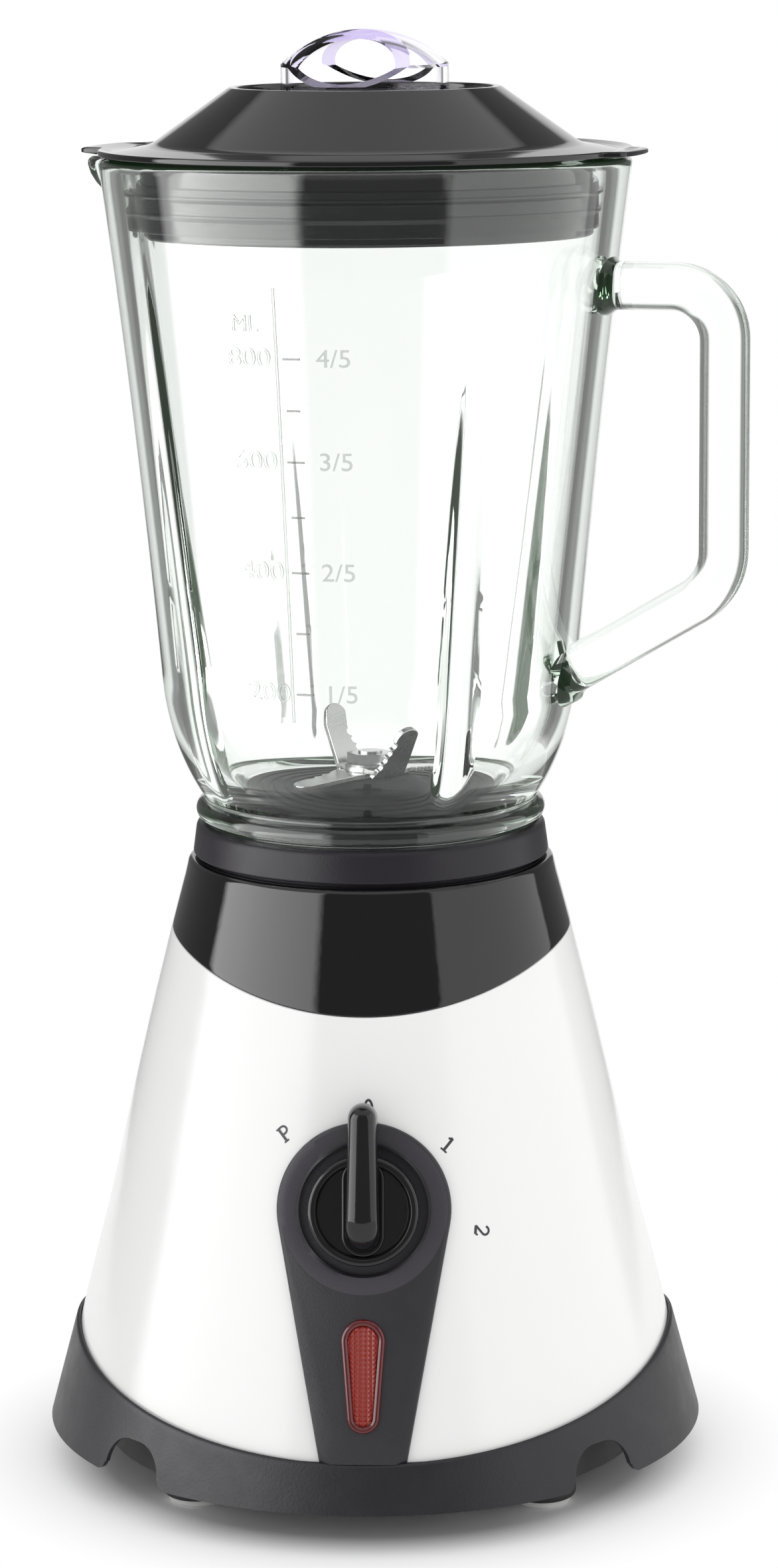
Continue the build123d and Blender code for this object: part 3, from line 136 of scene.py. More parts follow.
def lathe(name, outline, centre=(0, 0), turns=128, sharp=32):
    """Turned solid from a closed (r, z) outline in millimetres."""
    return solid(name, [ring_points(r, z, turns, centre) for r, z in outline], loop=True, sharp=sharp)


def dress(thing, material, body, slot, *nodes):
    """Gives a piece its finish and the body it rides on, and hides the nodes it stands for; the material slot
    is not used.
    """
    thing.data.materials.clear()
    thing.data.materials.append(material)
    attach(thing, body)
    if nodes:
        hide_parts(*nodes)
    return thing


def dress_nodes(material, *nodes):
    """Gives nodes of the frame that stay in view a finish."""
    for node in nodes:
        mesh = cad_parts[node].data
        mesh.materials.clear()
        mesh.materials.append(material)


def link(tree, source, target):
    """Joins two sockets."""
    tree.links.new(source, target)


def socket_value(node, **values):
    """Sets a node's sockets by name, with underscores for spaces."""
    for key, value in values.items():
        node.inputs[key.replace("_", " ")].default_value = value
    return node


def add_node(tree, kind, **values):
    """New node of a kind in a tree, with the values of its sockets."""
    return socket_value(tree.nodes.new(kind), **values)


def moulded_skin():
    """Node group for moulded surfaces: broad tone, patchy roughness and a fine grain."""
    group = bpy.data.node_groups.new("moulded_skin", "ShaderNodeTree")
    for label, kind in (("Light Tone", "Color"), ("Dark Tone", "Color"), ("Least Roughness", "Float"),
                        ("Most Roughness", "Float"), ("Grain Scale", "Float")):
        group.interface.new_socket(label, in_out="INPUT", socket_type=f"NodeSocket{kind}")
    for label, kind in (("Colour", "Color"), ("Roughness", "Float"), ("Height", "Float")):
        group.interface.new_socket(label, in_out="OUTPUT", socket_type=f"NodeSocket{kind}")
    entry = add_node(group, "NodeGroupInput")
    leave = add_node(group, "NodeGroupOutput")
    place = add_node(group, "ShaderNodeTexCoord")
    broad = add_node(group, "ShaderNodeTexNoise", Scale=28.0, Detail=4.0, Roughness=0.6)
    patch = add_node(group, "ShaderNodeTexNoise", Scale=130.0, Detail=6.0, Roughness=0.65)
    grain = add_node(group, "ShaderNodeTexNoise", Detail=2.0, Roughness=0.5)
    for noise in (broad, patch, grain):
        link(group, place.outputs["Object"], noise.inputs["Vector"])
    link(group, entry.outputs["Grain Scale"], grain.inputs["Scale"])
    tone = add_node(group, "ShaderNodeMix")
    tone.data_type = "RGBA"
    link(group, broad.outputs["Fac"], tone.inputs["Factor"])
    link(group, entry.outputs["Dark Tone"], tone.inputs["A"])
    link(group, entry.outputs["Light Tone"], tone.inputs["B"])
    link(group, tone.outputs["Result"], leave.inputs["Colour"])
    span = add_node(group, "ShaderNodeMapRange", From_Min=0.3, From_Max=0.7)
    link(group, patch.outputs["Fac"], span.inputs["Value"])
    link(group, entry.outputs["Least Roughness"], span.inputs["To Min"])
    link(group, entry.outputs["Most Roughness"], span.inputs["To Max"])
    link(group, span.outputs["Result"], leave.inputs["Roughness"])
    link(group, grain.outputs["Fac"], leave.inputs["Height"])
    return group


SKIN = moulded_skin()


def raise_surface(tree, height, depth):
    """Feeds a material's normal from a height socket, with a depth in millimetres."""
    bump = add_node(tree, "ShaderNodeBump", Distance=depth * MM)
    link(tree, height, bump.inputs["Height"])
    link(tree, bump.outputs["Normal"], tree.nodes["Principled BSDF"].inputs["Normal"])


def new_material(name):
    """Empty material with its shader tree and its main shader."""
    material = bpy.data.materials.new(name)
    material.use_nodes = True
    return material, material.node_tree, material.node_tree.nodes["Principled BSDF"]


def moulded(name, light, dark, rough, grain, depth, **constants):
    """Material of two close tones, with a range of roughness, a grain per metre and its depth in mm."""
    material, tree, shader = new_material(name)
    skin = add_node(tree, "ShaderNodeGroup")
    skin.node_tree = SKIN
    socket_value(skin, Light_Tone=(*light, 1), Dark_Tone=(*dark, 1), Least_Roughness=rough[0],
                 Most_Roughness=rough[1], Grain_Scale=grain)
    link(tree, skin.outputs["Colour"], shader.inputs["Base Color"])
    link(tree, skin.outputs["Roughness"], shader.inputs["Roughness"])
    raise_surface(tree, skin.outputs["Height"], depth)
    socket_value(shader, **constants)
    return material


pale_rubber = moulded("pale_rubber", (0.72, 0.72, 0.70), (0.62, 0.62, 0.60), (0.55, 0.7), 2200, 0.05)
foot_angles = [radians(45 + 90 * k) for k in range(4)]
pad_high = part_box("foot_pads")[1]
pad_radius = 7.1
pad_height = 1.5
stem_radius = 3.2
stem_top = pad_height + 3
foot_ring = (pad_high.x / MM - pad_radius) * sqrt(2)
for number, angle in enumerate(foot_angles):
    outline = rounded((0, 0, 0), (pad_radius, 0, 0.5), (pad_radius, pad_height, 0.1),
                      (stem_radius, pad_height, 0), (stem_radius, stem_top, 0.3), (0, stem_top, 0))
    pad = lathe(f"foot_pad_{number + 1}", outline, (foot_ring * cos(angle), foot_ring * sin(angle)), 48)
    dress(pad, pale_rubber, "base", "foot_rubber", *(["foot_pads"] if number == 0 else []))

# Bottom pan, cord gland and base screws
# The pan is a plain black moulding that closes the base from below, with foot posts and air slots.
# A soft grommet fills the cord hole at its back, and four steel screws hold it to the housing.
plain_black = moulded("plain_black", (0.030, 0.029, 0.031), (0.022, 0.021, 0.023), (0.45, 0.6), 1800, 0.06)
soft_black = moulded("soft_black_rubber", (0.026, 0.026, 0.027), (0.018, 0.018, 0.019), (0.5, 0.68), 2600,
                     0.05)


def bare_metal(name, light, dark, rough, grain, depth):
    """Metal with a fine grain and a cloudy tone."""
    return moulded(name, light, dark, rough, grain, depth, Metallic=1.0)


screw_steel = bare_metal("zinc_screw_steel", (0.62, 0.62, 0.64), (0.5, 0.5, 0.52), (0.28, 0.42), 900, 0.04)
dress_nodes(plain_black, "bottom_pan")
dress_nodes(soft_black, "cord_gland")
dress_nodes(screw_steel, "base_screws")

# Motor
# A universal motor hangs on rubber mounts under the top cover: steel laminations, copper coils,
# alloy brackets with bronze bearings, carbon brushes, and a moulded fan below.
core_steel = bare_metal("laminated_steel", (0.30, 0.30, 0.32), (0.2, 0.2, 0.22), (0.4, 0.55), 1600, 0.15)
copper_wire = bare_metal("enamelled_copper", (0.72, 0.33, 0.16), (0.55, 0.22, 0.1), (0.25, 0.4), 1200, 0.3)
bearing_bronze = bare_metal("sintered_bronze", (0.62, 0.45, 0.24), (0.5, 0.36, 0.2), (0.35, 0.5), 2400, 0.05)
cast_alloy = bare_metal("cast_alloy", (0.66, 0.66, 0.68), (0.55, 0.55, 0.57), (0.38, 0.52), 1500, 0.08)
shaft_steel = bare_metal("ground_shaft_steel", (0.66, 0.66, 0.67), (0.56, 0.56, 0.57), (0.16, 0.28), 2000,
                         0.02)
brush_carbon = moulded("brush_carbon", (0.05, 0.05, 0.052), (0.035, 0.035, 0.036), (0.4, 0.55), 2600, 0.04)
dress_nodes(core_steel, "stator_core", "armature_core")
dress_nodes(copper_wire, "field_coils", "armature_winding", "commutator")
dress_nodes(bearing_bronze, "upper_bearing", "lower_bearing", "lower_bush", "upper_bush")
dress_nodes(cast_alloy, "upper_bracket", "lower_bracket")
dress_nodes(shaft_steel, "motor_shaft", "blade_shaft", "switch_spindle")
dress_nodes(screw_steel, "motor_screws", "stator_studs", "switch_nut")
dress_nodes(brush_carbon, "carbon_brushes")
dress_nodes(soft_black, "motor_mounts", "jar_gasket", "shaft_seal")
dress_nodes(plain_black, "cooling_fan", "brush_holders", "drive_coupling", "driven_coupling", "switch_body",
            "lamp_holder")

# Base skirt
# A flared ring round the foot of the housing, moulded in satin black plastic.
# Its top edge sweeps up at the sides, and a small arch is cut over each foot.
satin_black = moulded("satin_black", (0.015, 0.0135, 0.017), (0.011, 0.010, 0.0125), (0.36, 0.46), 1500, 0.05)
skirt_low, skirt_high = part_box("base_skirt")
skirt_bottom = skirt_low.z / MM
skirt_top = skirt_high.z / MM
skirt_radius = skirt_high.x / MM
skirt_slope = radians(15)
skirt_lean = tan(skirt_slope)
skirt_wall = 1.1 / cos(skirt_slope)
skirt_front = 11.7
curve_width = 80.0
curve_rise = skirt_top - skirt_bottom - skirt_front
side_radius = skirt_radius - skirt_lean * (skirt_top - skirt_bottom)
curve_height = curve_rise / (1 - sqrt(1 - (side_radius / curve_width) ** 2))
notch_half = 10.0
notch_height = 9.7
notch_fillet = 7.8
notch_flare = 2.6
ledge_inner = 69.1
ledge_outer = 78.2
ledge_top = skirt_bottom + skirt_front
ledge_bottom = ledge_top - 1.6


def between(low, high, share):
    """Value that lies a share of the way from low to high."""
    return low + (high - low) * share


def skirt_edge(angle):
    """Height of the skirt's top edge at an angle from +X."""
    across = min(side_radius * abs(cos(angle)), curve_width)
    return skirt_bottom + skirt_front + curve_height * (1 - sqrt(1 - (across / curve_width) ** 2))


def notch_outline():
    """Half of a notch's arch as (sideways, height) points, from its middle down to the bottom edge."""
    turn_x = notch_half - 0.4 - notch_fillet
    turn_z = notch_height - notch_fillet
    points = [(turn_x * step / 4, notch_height) for step in range(5)]
    for step in range(1, 13):
        bend = radians(90 - 88 * step / 12)
        points.append((turn_x + notch_fillet * cos(bend), turn_z + notch_fillet * sin(bend)))
    for step in range(1, 9):
        bend = radians(90 * step / 8)
        points.append((notch_half + notch_flare * (1 - cos(bend)), notch_flare * (1 - sin(bend))))
    return points


def skirt_columns():
    """Angles round the skirt with the height of its bottom edge at each."""
    arch = [(-x, h) for x, h in reversed(notch_outline()[1:])] + notch_outline()
    columns = []
    plain = 28
    for angle in foot_angles:
        columns += [(angle + x / skirt_radius, skirt_bottom + h) for x, h in arch]
        start = angle + arch[-1][0] / skirt_radius
        end = angle + pi / 2 - arch[-1][0] / skirt_radius
        columns += [(start + (end - start) * step / plain, skirt_bottom) for step in range(1, plain)]
    return columns


def skirt_rows():
    """Rows of points up the outside, over the rounded top edge and down the inside of the skirt."""
    edge = 0.9
    shares = (0.0, 0.06, 0.2, 0.4, 0.6, 0.8, 0.92)
    columns = skirt_columns()
    rows, inner_rows = [
        [[skirt_point(a, between(low, skirt_edge(a) - edge, share), inset) for a, low in columns]
         for share in shares]
        for inset in (0, skirt_wall)
    ]
    for step in range(7):
        bend = radians(180 * step / 6)
        inset = skirt_wall / 2 * (1 - cos(bend))
        rows.append([skirt_point(a, skirt_edge(a) - edge * (1 - sin(bend)), inset) for a, low in columns])
    return rows + inner_rows[::-1]


def skirt_point(angle, height, inset):
    """Point on the flared skirt at an angle, a height and a depth under its outer face."""
    return polar(skirt_radius - skirt_lean * (height - skirt_bottom) - inset, angle, height)


skirt = solid("skirt_ring", skirt_rows(), loop=True, sharp=40)
dress(skirt, satin_black, "base", "black_satin", "base_skirt")
ledge = lathe("skirt_ledge", [(ledge_inner, ledge_bottom), (ledge_outer, ledge_bottom),
                              (ledge_outer, ledge_top), (ledge_inner, ledge_top)])
dress(ledge, satin_black, "base", "black_satin")

# Main housing
# A thin white cone, injection moulded with a polished face: slightly bulged, and spread towards the skirt.
# It stands on the skirt's ledge and carries the panel, the lamp and the top cover.
white_gloss = moulded("polished_white", (0.88, 0.88, 0.875), (0.86, 0.86, 0.855), (0.14, 0.22), 420, 0.012,
                      IOR=1.5)
shell_foot_z = ledge_top
shell_foot_radius = 74.4
shell_top_radius = 46.3
shell_height = 128.8
shell_bulge = 1.75
shell_top_z = shell_foot_z + shell_height
shell_taper = shell_foot_radius - shell_top_radius
chord = hypot(shell_taper, shell_height)
arc_radius = chord**2 / (8 * shell_bulge) + shell_bulge / 2
arc_r = (shell_foot_radius + shell_top_radius) / 2 + shell_height / chord * (shell_bulge - arc_radius)
arc_z = (shell_foot_z + shell_top_z) / 2 + shell_taper / chord * (shell_bulge - arc_radius)
parting_front = shell_foot_z + 103.2
parting_radius = 111.0
spread_height = 48.3
spread_start = shell_foot_z + spread_height
foot_spread = 3.5 / spread_height


def blend_max(a, b, width):
    """Larger of two values, with a soft crossover."""
    gap = a - b
    return (a + b + sqrt(gap * gap + width * width)) / 2


def shell_radius(z, inset=0.0):
    """Radius of the bulged cone at a height, moved inward by an inset; its foot spreads towards the skirt."""
    spread = foot_spread * blend_max(spread_start - z, 0, 8.0)
    return arc_r + sqrt((arc_radius - inset) ** 2 - (z - arc_z) ** 2) + spread


def parting_height(angle, inset=0.0):
    """Height of the curved joint between housing and cover at an angle from +X."""
    z = parting_front
    for _ in range(5):
        across = shell_radius(z, inset) * cos(angle)
        z = parting_front + parting_radius - sqrt(parting_radius**2 - across**2)
    return z


def shell_point(angle, z, inset):
    """Point on the bulged cone at an angle and a height, under its face by an inset."""
    return polar(shell_radius(z, inset), angle, z)


def shell_row(height_at, inset=0.0):
    """Points round the bulged cone, at a height that depends on the angle, under its face by an inset."""
    return [shell_point(a, height_at(a), inset) for a in housing_angles]


housing_angles = [FULL_TURN * j / 192 for j in range(192)]
housing_wall = 2.6
joint_edge = 0.35
quarter_bends = [radians(90 * step / 4) for step in range(5)]
housing_rows = [
    shell_row(lambda a: between(shell_foot_z, parting_height(a) - joint_edge, step / 24))
    for step in range(25)
]
for bend in quarter_bends[1:]:
    housing_rows.append(shell_row(lambda a: parting_height(a) - joint_edge * (1 - sin(bend)),
                                  joint_edge * (1 - cos(bend))))
for share in (1.0, 0.5, 0.0):
    housing_rows.append(shell_row(lambda a: between(shell_foot_z, parting_height(a), share), housing_wall))
housing = solid("white_housing", housing_rows, loop=True, sharp=40)
dress(housing, white_gloss, "base", "white_plastic", "main_housing")

# Printed switch marks
# Small dark marks for the pulse setting, off and two speeds, pad printed on the white cone round the knob.
# Each mark is turned towards the knob's axis.
mark_ink = moulded("mark_ink", (0.05, 0.05, 0.055), (0.035, 0.035, 0.04), (0.35, 0.5), 1500, 0.01)
knob_rise = 58.5
knob_z = shell_foot_z + knob_rise
cone_slope = 0.975


def cone_place(azimuth, height):
    """Maps sideways and up to the cone about a point at an azimuth from the front and a height."""
    def place(across, up, lift):
        z = height + up * cone_slope
        return polar(shell_radius(z) + lift, radians(azimuth - 90) + across / shell_radius(height), z)
    return place


def turned(x, y, turn):
    """Point of a plane, turned about its origin."""
    return x * cos(turn) - y * sin(turn), x * sin(turn) + y * cos(turn)


def from_work(name, work):
    """Object with the mesh that was worked on."""
    mesh = bpy.data.meshes.new(name)
    work.to_mesh(mesh)
    work.free()
    return placed(name, mesh)


def stroked(name, strokes, place, turn):
    """Flat mark of several ribbons, each a line of points and a width, turned and laid on a surface."""
    work = bmesh.new()
    for points, width in strokes:
        rows = ([], [])
        for i, point in enumerate(points):
            ahead = Vector(points[min(i + 1, len(points) - 1)]) - Vector(points[max(i - 1, 0)])
            side = Vector((-ahead.y, ahead.x)).normalized() * width / 2
            for row, spot in zip(rows, (Vector(point) + side, Vector(point) - side)):
                row.append(work.verts.new(Vector(place(*turned(*spot, turn), 0.05)) * MM))
        for k in range(len(points) - 1):
            work.faces.new((rows[1][k], rows[1][k + 1], rows[0][k + 1], rows[0][k]))
    return dress(from_work(name, work), mark_ink, "base", "white_plastic")


def bow(centre, wide, tall, start, end, steps=14):
    """Points on part of an ellipse between two angles in degrees."""
    bends = [radians(start + (end - start) * step / steps) for step in range(steps + 1)]
    return [(centre[0] + wide * cos(bend), centre[1] + tall * sin(bend)) for bend in bends]


thin = 0.5
thick = 0.8
mark_strokes = {
    "P": [([(-0.9, -2.1), (-0.9, 2.0)], thick), ([(-1.7, -2.1), (-0.1, -2.1)], thin),
          ([(-1.7, 2.0), (-0.9, 2.0)], thin),
          ([(-0.9, 2.0)] + bow((0.1, 0.95), 1.1, 1.05, 90, -90) + [(-0.9, -0.1)], 0.6)],
    "0": [(bow((0, 0), 0.95, 2.4, 0, 360, 32), 0.55)],
    "1": [([(0, -2.1), (0, 2.1)], thick), ([(-1.1, -2.1), (1.1, -2.1)], thin),
          ([(-1.0, 1.35), (0, 2.1)], 0.6)],
    "2": [(bow((0, 0.95), 1.15, 1.1, 170, -35) + [(-1.25, -1.95)], 0.66),
          ([(-1.3, -1.95), (1.1, -1.95)], thick), ([(1.1, -1.95), (1.3, -1.2)], thin)],
}
for mark, azimuth, height, lean in (("P", -18.6, 97.3, 43), ("0", 1.15, 103.5, 0), ("1", 19.6, 94.6, -45),
                                    ("2", 25.8, 73.7, -100)):
    scale = 1.0 if mark == "0" else 0.86
    strokes = [([(x * scale, y * scale) for x, y in points], width * scale)
               for points, width in mark_strokes[mark]]
    stroked(f"mark_{mark}", strokes, cone_place(azimuth, height), radians(lean))

# Control panel
# A matt black plate, shaped like a drop, that follows the cone and is clipped on its front.
# A sloping ring leads into the round cup that the knob sits in.
panel_black = moulded("matt_panel_black", (0.022, 0.020, 0.025), (0.017, 0.0155, 0.019), (0.45, 0.56), 2600,
                      0.07)
knob_tilt = asin((knob_z - arc_z) / arc_radius)
knob_origin = Vector((0, -shell_radius(knob_z), knob_z))
knob_out = Vector((0, -cos(knob_tilt), sin(knob_tilt)))
knob_up = Vector((0, sin(knob_tilt), cos(knob_tilt)))
knob_side = Vector((1, 0, 0))


def knob_point(u, v, s):
    """Point at (sideways, up) on the knob's plane, raised by s."""
    return knob_origin + knob_side * u + knob_up * v + knob_out * s


def knob_ring(radius, level):
    """Circle of points about the knob's axis."""
    return [knob_point(*spot) for spot in ring_points(radius, level, 96)]


def cone_level(u, v):
    """Level of the white cone under (u, v), measured along the knob's axis."""
    s = 0.0
    for _ in range(6):
        point = knob_point(u, v, s)
        s -= (hypot(point.x, point.y) - shell_radius(point.z)) / cos(knob_tilt)
    return s


panel_radius = 21.0
panel_thickness = 1.8
panel_foot_half = 10.4
panel_foot = -(knob_rise + 0.9) / cos(knob_tilt)
cup_radius = 15.6
cup_level = -1.1


def drop_outline(inset, count=144):
    """Points of the drop-shaped outline seen from the knob's axis, moved inward by an inset."""
    radius = panel_radius - inset
    half = panel_foot_half - inset
    foot = panel_foot + inset
    side = hypot(half, foot)
    tangent = atan2(foot, half) + acos(radius / side)
    corner = atan2(foot, half)
    points = []
    for j in range(count):
        angle = -pi / 2 + FULL_TURN * j / count
        if angle > pi / 2:
            mirror, angle = -1, pi - angle
        else:
            mirror = 1
        if angle >= tangent:
            reach = radius
        elif angle >= corner:
            reach = radius / cos(angle - tangent)
        else:
            reach = foot / sin(angle)
        points.append((mirror * reach * cos(angle), reach * sin(angle)))
    return points


def over_cone(u, v, level):
    """Point over (u, v) at a level above the white cone."""
    return knob_point(u, v, cone_level(u, v) + level)


def combine(thing, other, operation):
    """Applies a boolean of two solids to the first and removes the second."""
    step = thing.modifiers.new("combine", "BOOLEAN")
    step.operation = operation
    step.solver = "EXACT"
    step.object = other
    graph = bpy.context.evaluated_depsgraph_get()
    mesh = bpy.data.meshes.new_from_object(thing.evaluated_get(graph))
    thing.modifiers.clear()
    thing.data = mesh
    bpy.data.objects.remove(other)
    return thing


edge_round = 0.8
slope_radius = 20.2
slope_inner = 16.2
slope_drop = 0.9
inner_edge = drop_outline(edge_round)


def drawn_in(radius_at):
    """Points of the panel's inner edge, drawn in to a radius that depends on their own."""
    scales = [radius_at(hypot(u, v)) / hypot(u, v) for u, v in inner_edge]
    return [(u * scale, v * scale) for (u, v), scale in zip(inner_edge, scales)]


panel_rows = [
    [over_cone(u, v, level) for u, v in drop_outline(inset)]
    for inset, level in ((0, 0.0), (0, 1.0), (0.24, 1.55), (edge_round, panel_thickness))
]
for share in (0.25, 0.5, 0.75, 1.0):
    flat_ring = drawn_in(lambda reach: between(reach, min(slope_radius, reach), share))
    panel_rows.append([over_cone(u, v, panel_thickness) for u, v in flat_ring])
for radius, drop in ((18.6, 0.32), (17.2, 0.62), (slope_inner, slope_drop)):
    panel_rows.append([over_cone(u, v, panel_thickness - drop) for u, v in drawn_in(lambda reach: radius)])
for radius, level in ((cup_radius, 0.2), (cup_radius, cup_level), (5.0, cup_level)):
    panel_rows.append([knob_point(u, v, level) for u, v in drawn_in(lambda reach: radius)])
panel = solid("panel_plate", panel_rows, sharp=34)
cup_hole = solid("cup_hole", [knob_ring(cup_radius + 1.3, level) for level in (-9.0, 6.0)])
combine(housing, cup_hole, "DIFFERENCE")
smooth(housing.data, 40)
dress(panel, panel_black, "base", "black_satin", "control_panel")
ring_grey = moulded("panel_ring_grey", (0.046, 0.042, 0.052), (0.037, 0.034, 0.042), (0.5, 0.6), 2600, 0.06)
panel.data.materials.append(ring_grey)
for face in panel.data.polygons:
    spot = face.center / MM - knob_origin
    on_slope = slope_inner - 0.2 < hypot(spot.dot(knob_side), spot.dot(knob_up)) < slope_radius
    if on_slope and face.normal.dot(knob_out) > 0.5:
        face.material_index = 1

# Pilot lamp
# A red lens with round ends that stands a little proud of the panel, over an insert cut into small prisms.
# Behind it a neon lamp sits in a black holder.


def glassy(name, colour, ior):
    """Clear material with a plain transmission, and the faint cloud and ripple that the mould leaves."""
    cloud = [0.985 * part for part in colour]
    material = moulded(name, colour, cloud, (0, 0), 60.0, 0.01, IOR=ior, Transmission_Weight=1.0)
    rough = material.node_tree.nodes["Principled BSDF"].inputs["Roughness"]
    material.node_tree.links.remove(rough.links[0])
    rough.default_value = 0.0
    return material


lens_red = moulded("lens_rim_red", (0.11, 0.006, 0.008), (0.075, 0.004, 0.006), (0.05, 0.1), 400, 0.01,
                   Coat_Weight=0.4)
lamp_glass = glassy("lamp_glass", (0.95, 0.95, 0.95), 1.45)
dress_nodes(lamp_glass, "neon_lamp")


def reckon(tree, operation, first, second):
    """Result of a sum on two sockets or numbers, as a socket."""
    node = add_node(tree, "ShaderNodeMath")
    node.operation = operation
    for socket, value in zip(node.inputs, (first, second)):
        if isinstance(value, (int, float)):
            socket.default_value = value
        else:
            link(tree, value, socket)
    return node.outputs["Value"]


def position(tree, kind):
    """X, Y and Z sockets of a kind of texture coordinate."""
    place = add_node(tree, "ShaderNodeTexCoord")
    parts = add_node(tree, "ShaderNodeSeparateXYZ")
    link(tree, place.outputs[kind], parts.inputs["Vector"])
    return parts.outputs


def prism_red_painted_glow():
    """Red insert whose face is a grid of small pyramids, with a faint painted glow that brightens it."""
    # The emission here is painted light: a faint glow on the insert itself, not light from the neon lamp.
    material = moulded("prism_red_painted_glow", (0.30, 0.032, 0.022), (0.22, 0.022, 0.016), (0.16, 0.26), 900, 0.02,
                       Emission_Color=(0.4, 0.03, 0.02, 1), Emission_Strength=0.08)
    tree = material.node_tree
    spot = position(tree, "Object")
    half_pitch = 0.55 * MM
    flanks = [reckon(tree, "PINGPONG", spot[axis], half_pitch) for axis in ("X", "Z")]
    raise_surface(tree, reckon(tree, "MULTIPLY", reckon(tree, "MINIMUM", *flanks), 1 / half_pitch), 0.5)
    return material


def long_oval(top_radius, foot_radius, top_v, foot_v, count=96):
    """Points of a tapered oval with round ends."""
    lean = asin((top_radius - foot_radius) / (top_v - foot_v))
    points = []
    half = count // 2
    for j in range(half):
        bend = -lean + (pi + 2 * lean) * j / (half - 1)
        points.append((top_radius * cos(bend), top_v + top_radius * sin(bend)))
    for j in range(half):
        bend = pi + lean + (pi - 2 * lean) * j / (half - 1)
        points.append((foot_radius * cos(bend), foot_v + foot_radius * sin(bend)))
    return points


lens_top = -31.2
lens_foot = -49.2
lens_top_radius = 5.3
lens_foot_radius = 3.9


def lens_rows(*steps):
    """Rows of a domed lens, each with an inset from its outline and a level over the cone."""
    rows = []
    for inset, level in steps:
        outline = long_oval(lens_top_radius - inset, lens_foot_radius - inset, lens_top, lens_foot)
        rows.append([over_cone(u, v, level) for u, v in outline])
    return rows


lens_rim = solid("lens_rim", lens_rows((0, 0.2), (0, 2.0), (0.15, 2.45), (0.6, 2.75), (1.0, 2.72), (1.5, 2.3),
                                       (1.75, 1.95), (1.75, 1.2)), sharp=50)
dress(lens_rim, lens_red, "base", "red_lens", "lamp_lens")
insert_rows = lens_rows((1.7, 1.2), (1.7, 2.0), (1.95, 2.2), (2.4, 2.25), (3.2, 2.25))
lens_insert = solid("lens_insert", insert_rows, sharp=50)
dress(lens_insert, prism_red_painted_glow(), "base", "red_lens")

# Selector knob
# A glossy black dial with a rounded rim, a sunk face and a long bar grip.
# It is moulded in one piece and pressed on the switch spindle.
knob_gloss = moulded("knob_gloss", (0.010, 0.010, 0.011), (0.007, 0.007, 0.008), (0.08, 0.14), 500, 0.015,
                     IOR=1.5)
knob_radius = 13.3
knob_foot = -0.6
knob_face = 5.0
sunk_face = knob_face - 1.4
knob_hollow = 11.4
dial_profile = rounded((knob_hollow, knob_foot, 0.1), (knob_radius, knob_foot, 0.2),
                       (knob_radius, knob_face, 1.2), (11.2, knob_face, 0.9), (11.0, sunk_face, 0.3),
                       (0, sunk_face, 0), (0, 1.6, 0), (knob_hollow, 1.6, 0.3))
dial = solid("knob_dial", [knob_ring(r, s) for r, s in dial_profile], loop=True, sharp=50)
dress(dial, knob_gloss, "dial", "black_satin", "selector_knob")


def grip_ring(tip, tail, tip_half, tail_half, level, count=80):
    """Outline of the bar grip at a level: round ends of two sizes between a tip and a tail along the bar."""
    points = []
    for j in range(count):
        angle = FULL_TURN * j / count
        half, end = (tip_half, tip - tip_half) if sin(angle) >= 0 else (tail_half, tail + tail_half)
        points.append(knob_point(half * cos(angle), end + half * sin(angle), level))
    return points


grip_rows = [
    grip_ring(25.6, -9.6, 3.3, 3.7, 3.0), grip_ring(25.8, -9.7, 3.5, 4.1, 4.2),
    grip_ring(25.9, -9.4, 3.5, 4.1, 6.0), grip_ring(25.8, -8.7, 3.45, 4.05, 7.6),
    grip_ring(25.6, -7.8, 3.4, 4.0, 9.0), grip_ring(25.4, -6.9, 3.3, 3.9, 10.1),
    grip_ring(25.1, -6.0, 3.1, 3.7, 10.8), grip_ring(24.8, -5.1, 2.8, 3.4, 11.4),
    grip_ring(24.4, -4.2, 2.35, 2.95, 11.9), grip_ring(23.9, -3.3, 1.75, 2.3, 12.28),
    grip_ring(23.2, -2.4, 1.0, 1.4, 12.52), grip_ring(22.4, -1.6, 0.35, 0.5, 12.6),
]
grip = solid("knob_grip", grip_rows, sharp=60)
dress(grip, knob_gloss, "dial", "black_satin")
lip_steps = ((0, 3.2), (0, 4.1), (0.2, 4.4), (0.6, 4.5), (1.0, 4.3))
lip_half = 5.1
lip_tip = 12.6
lip_tail = -11.0
lip_rows = [
    grip_ring(lip_tip - inset, lip_tail + inset, lip_half - inset, lip_half - inset, level)
    for inset, level in lip_steps
]
grip_lip = solid("knob_grip_lip", lip_rows, sharp=60)
dress(grip_lip, knob_gloss, "dial", "black_satin")

# Top cover
# A polished black cap that closes the cone, with the jar's socket in its top.
# Its lower edge follows a curve that dips at the front.
black_gloss = moulded("polished_black", (0.0052, 0.0048, 0.0058), (0.0040, 0.0037, 0.0044), (0.035, 0.07),
                      320, 0.012, IOR=1.58)
cover_top = shell_top_z + 4.0
socket_radius = 42.7
socket_floor = cover_top - 6.5
well_floor = socket_floor - 14.0
cover_wall = 2.4
well_radius = 20.0
shaft_hole = 6.2
crown_radius = 45.4
web_radius = 42.5
joint_gap = 0.08
face_top = shell_top_z - 0.5
cover_rows = [
    shell_row(lambda a: parting_height(a) + joint_gap + joint_edge * (1 - cos(bend)),
              joint_edge * (1 - sin(bend)))
    for bend in quarter_bends
]
for step in range(1, 15):
    cover_rows.append(
        shell_row(lambda a: between(parting_height(a) + joint_gap + joint_edge, face_top, step / 14)))
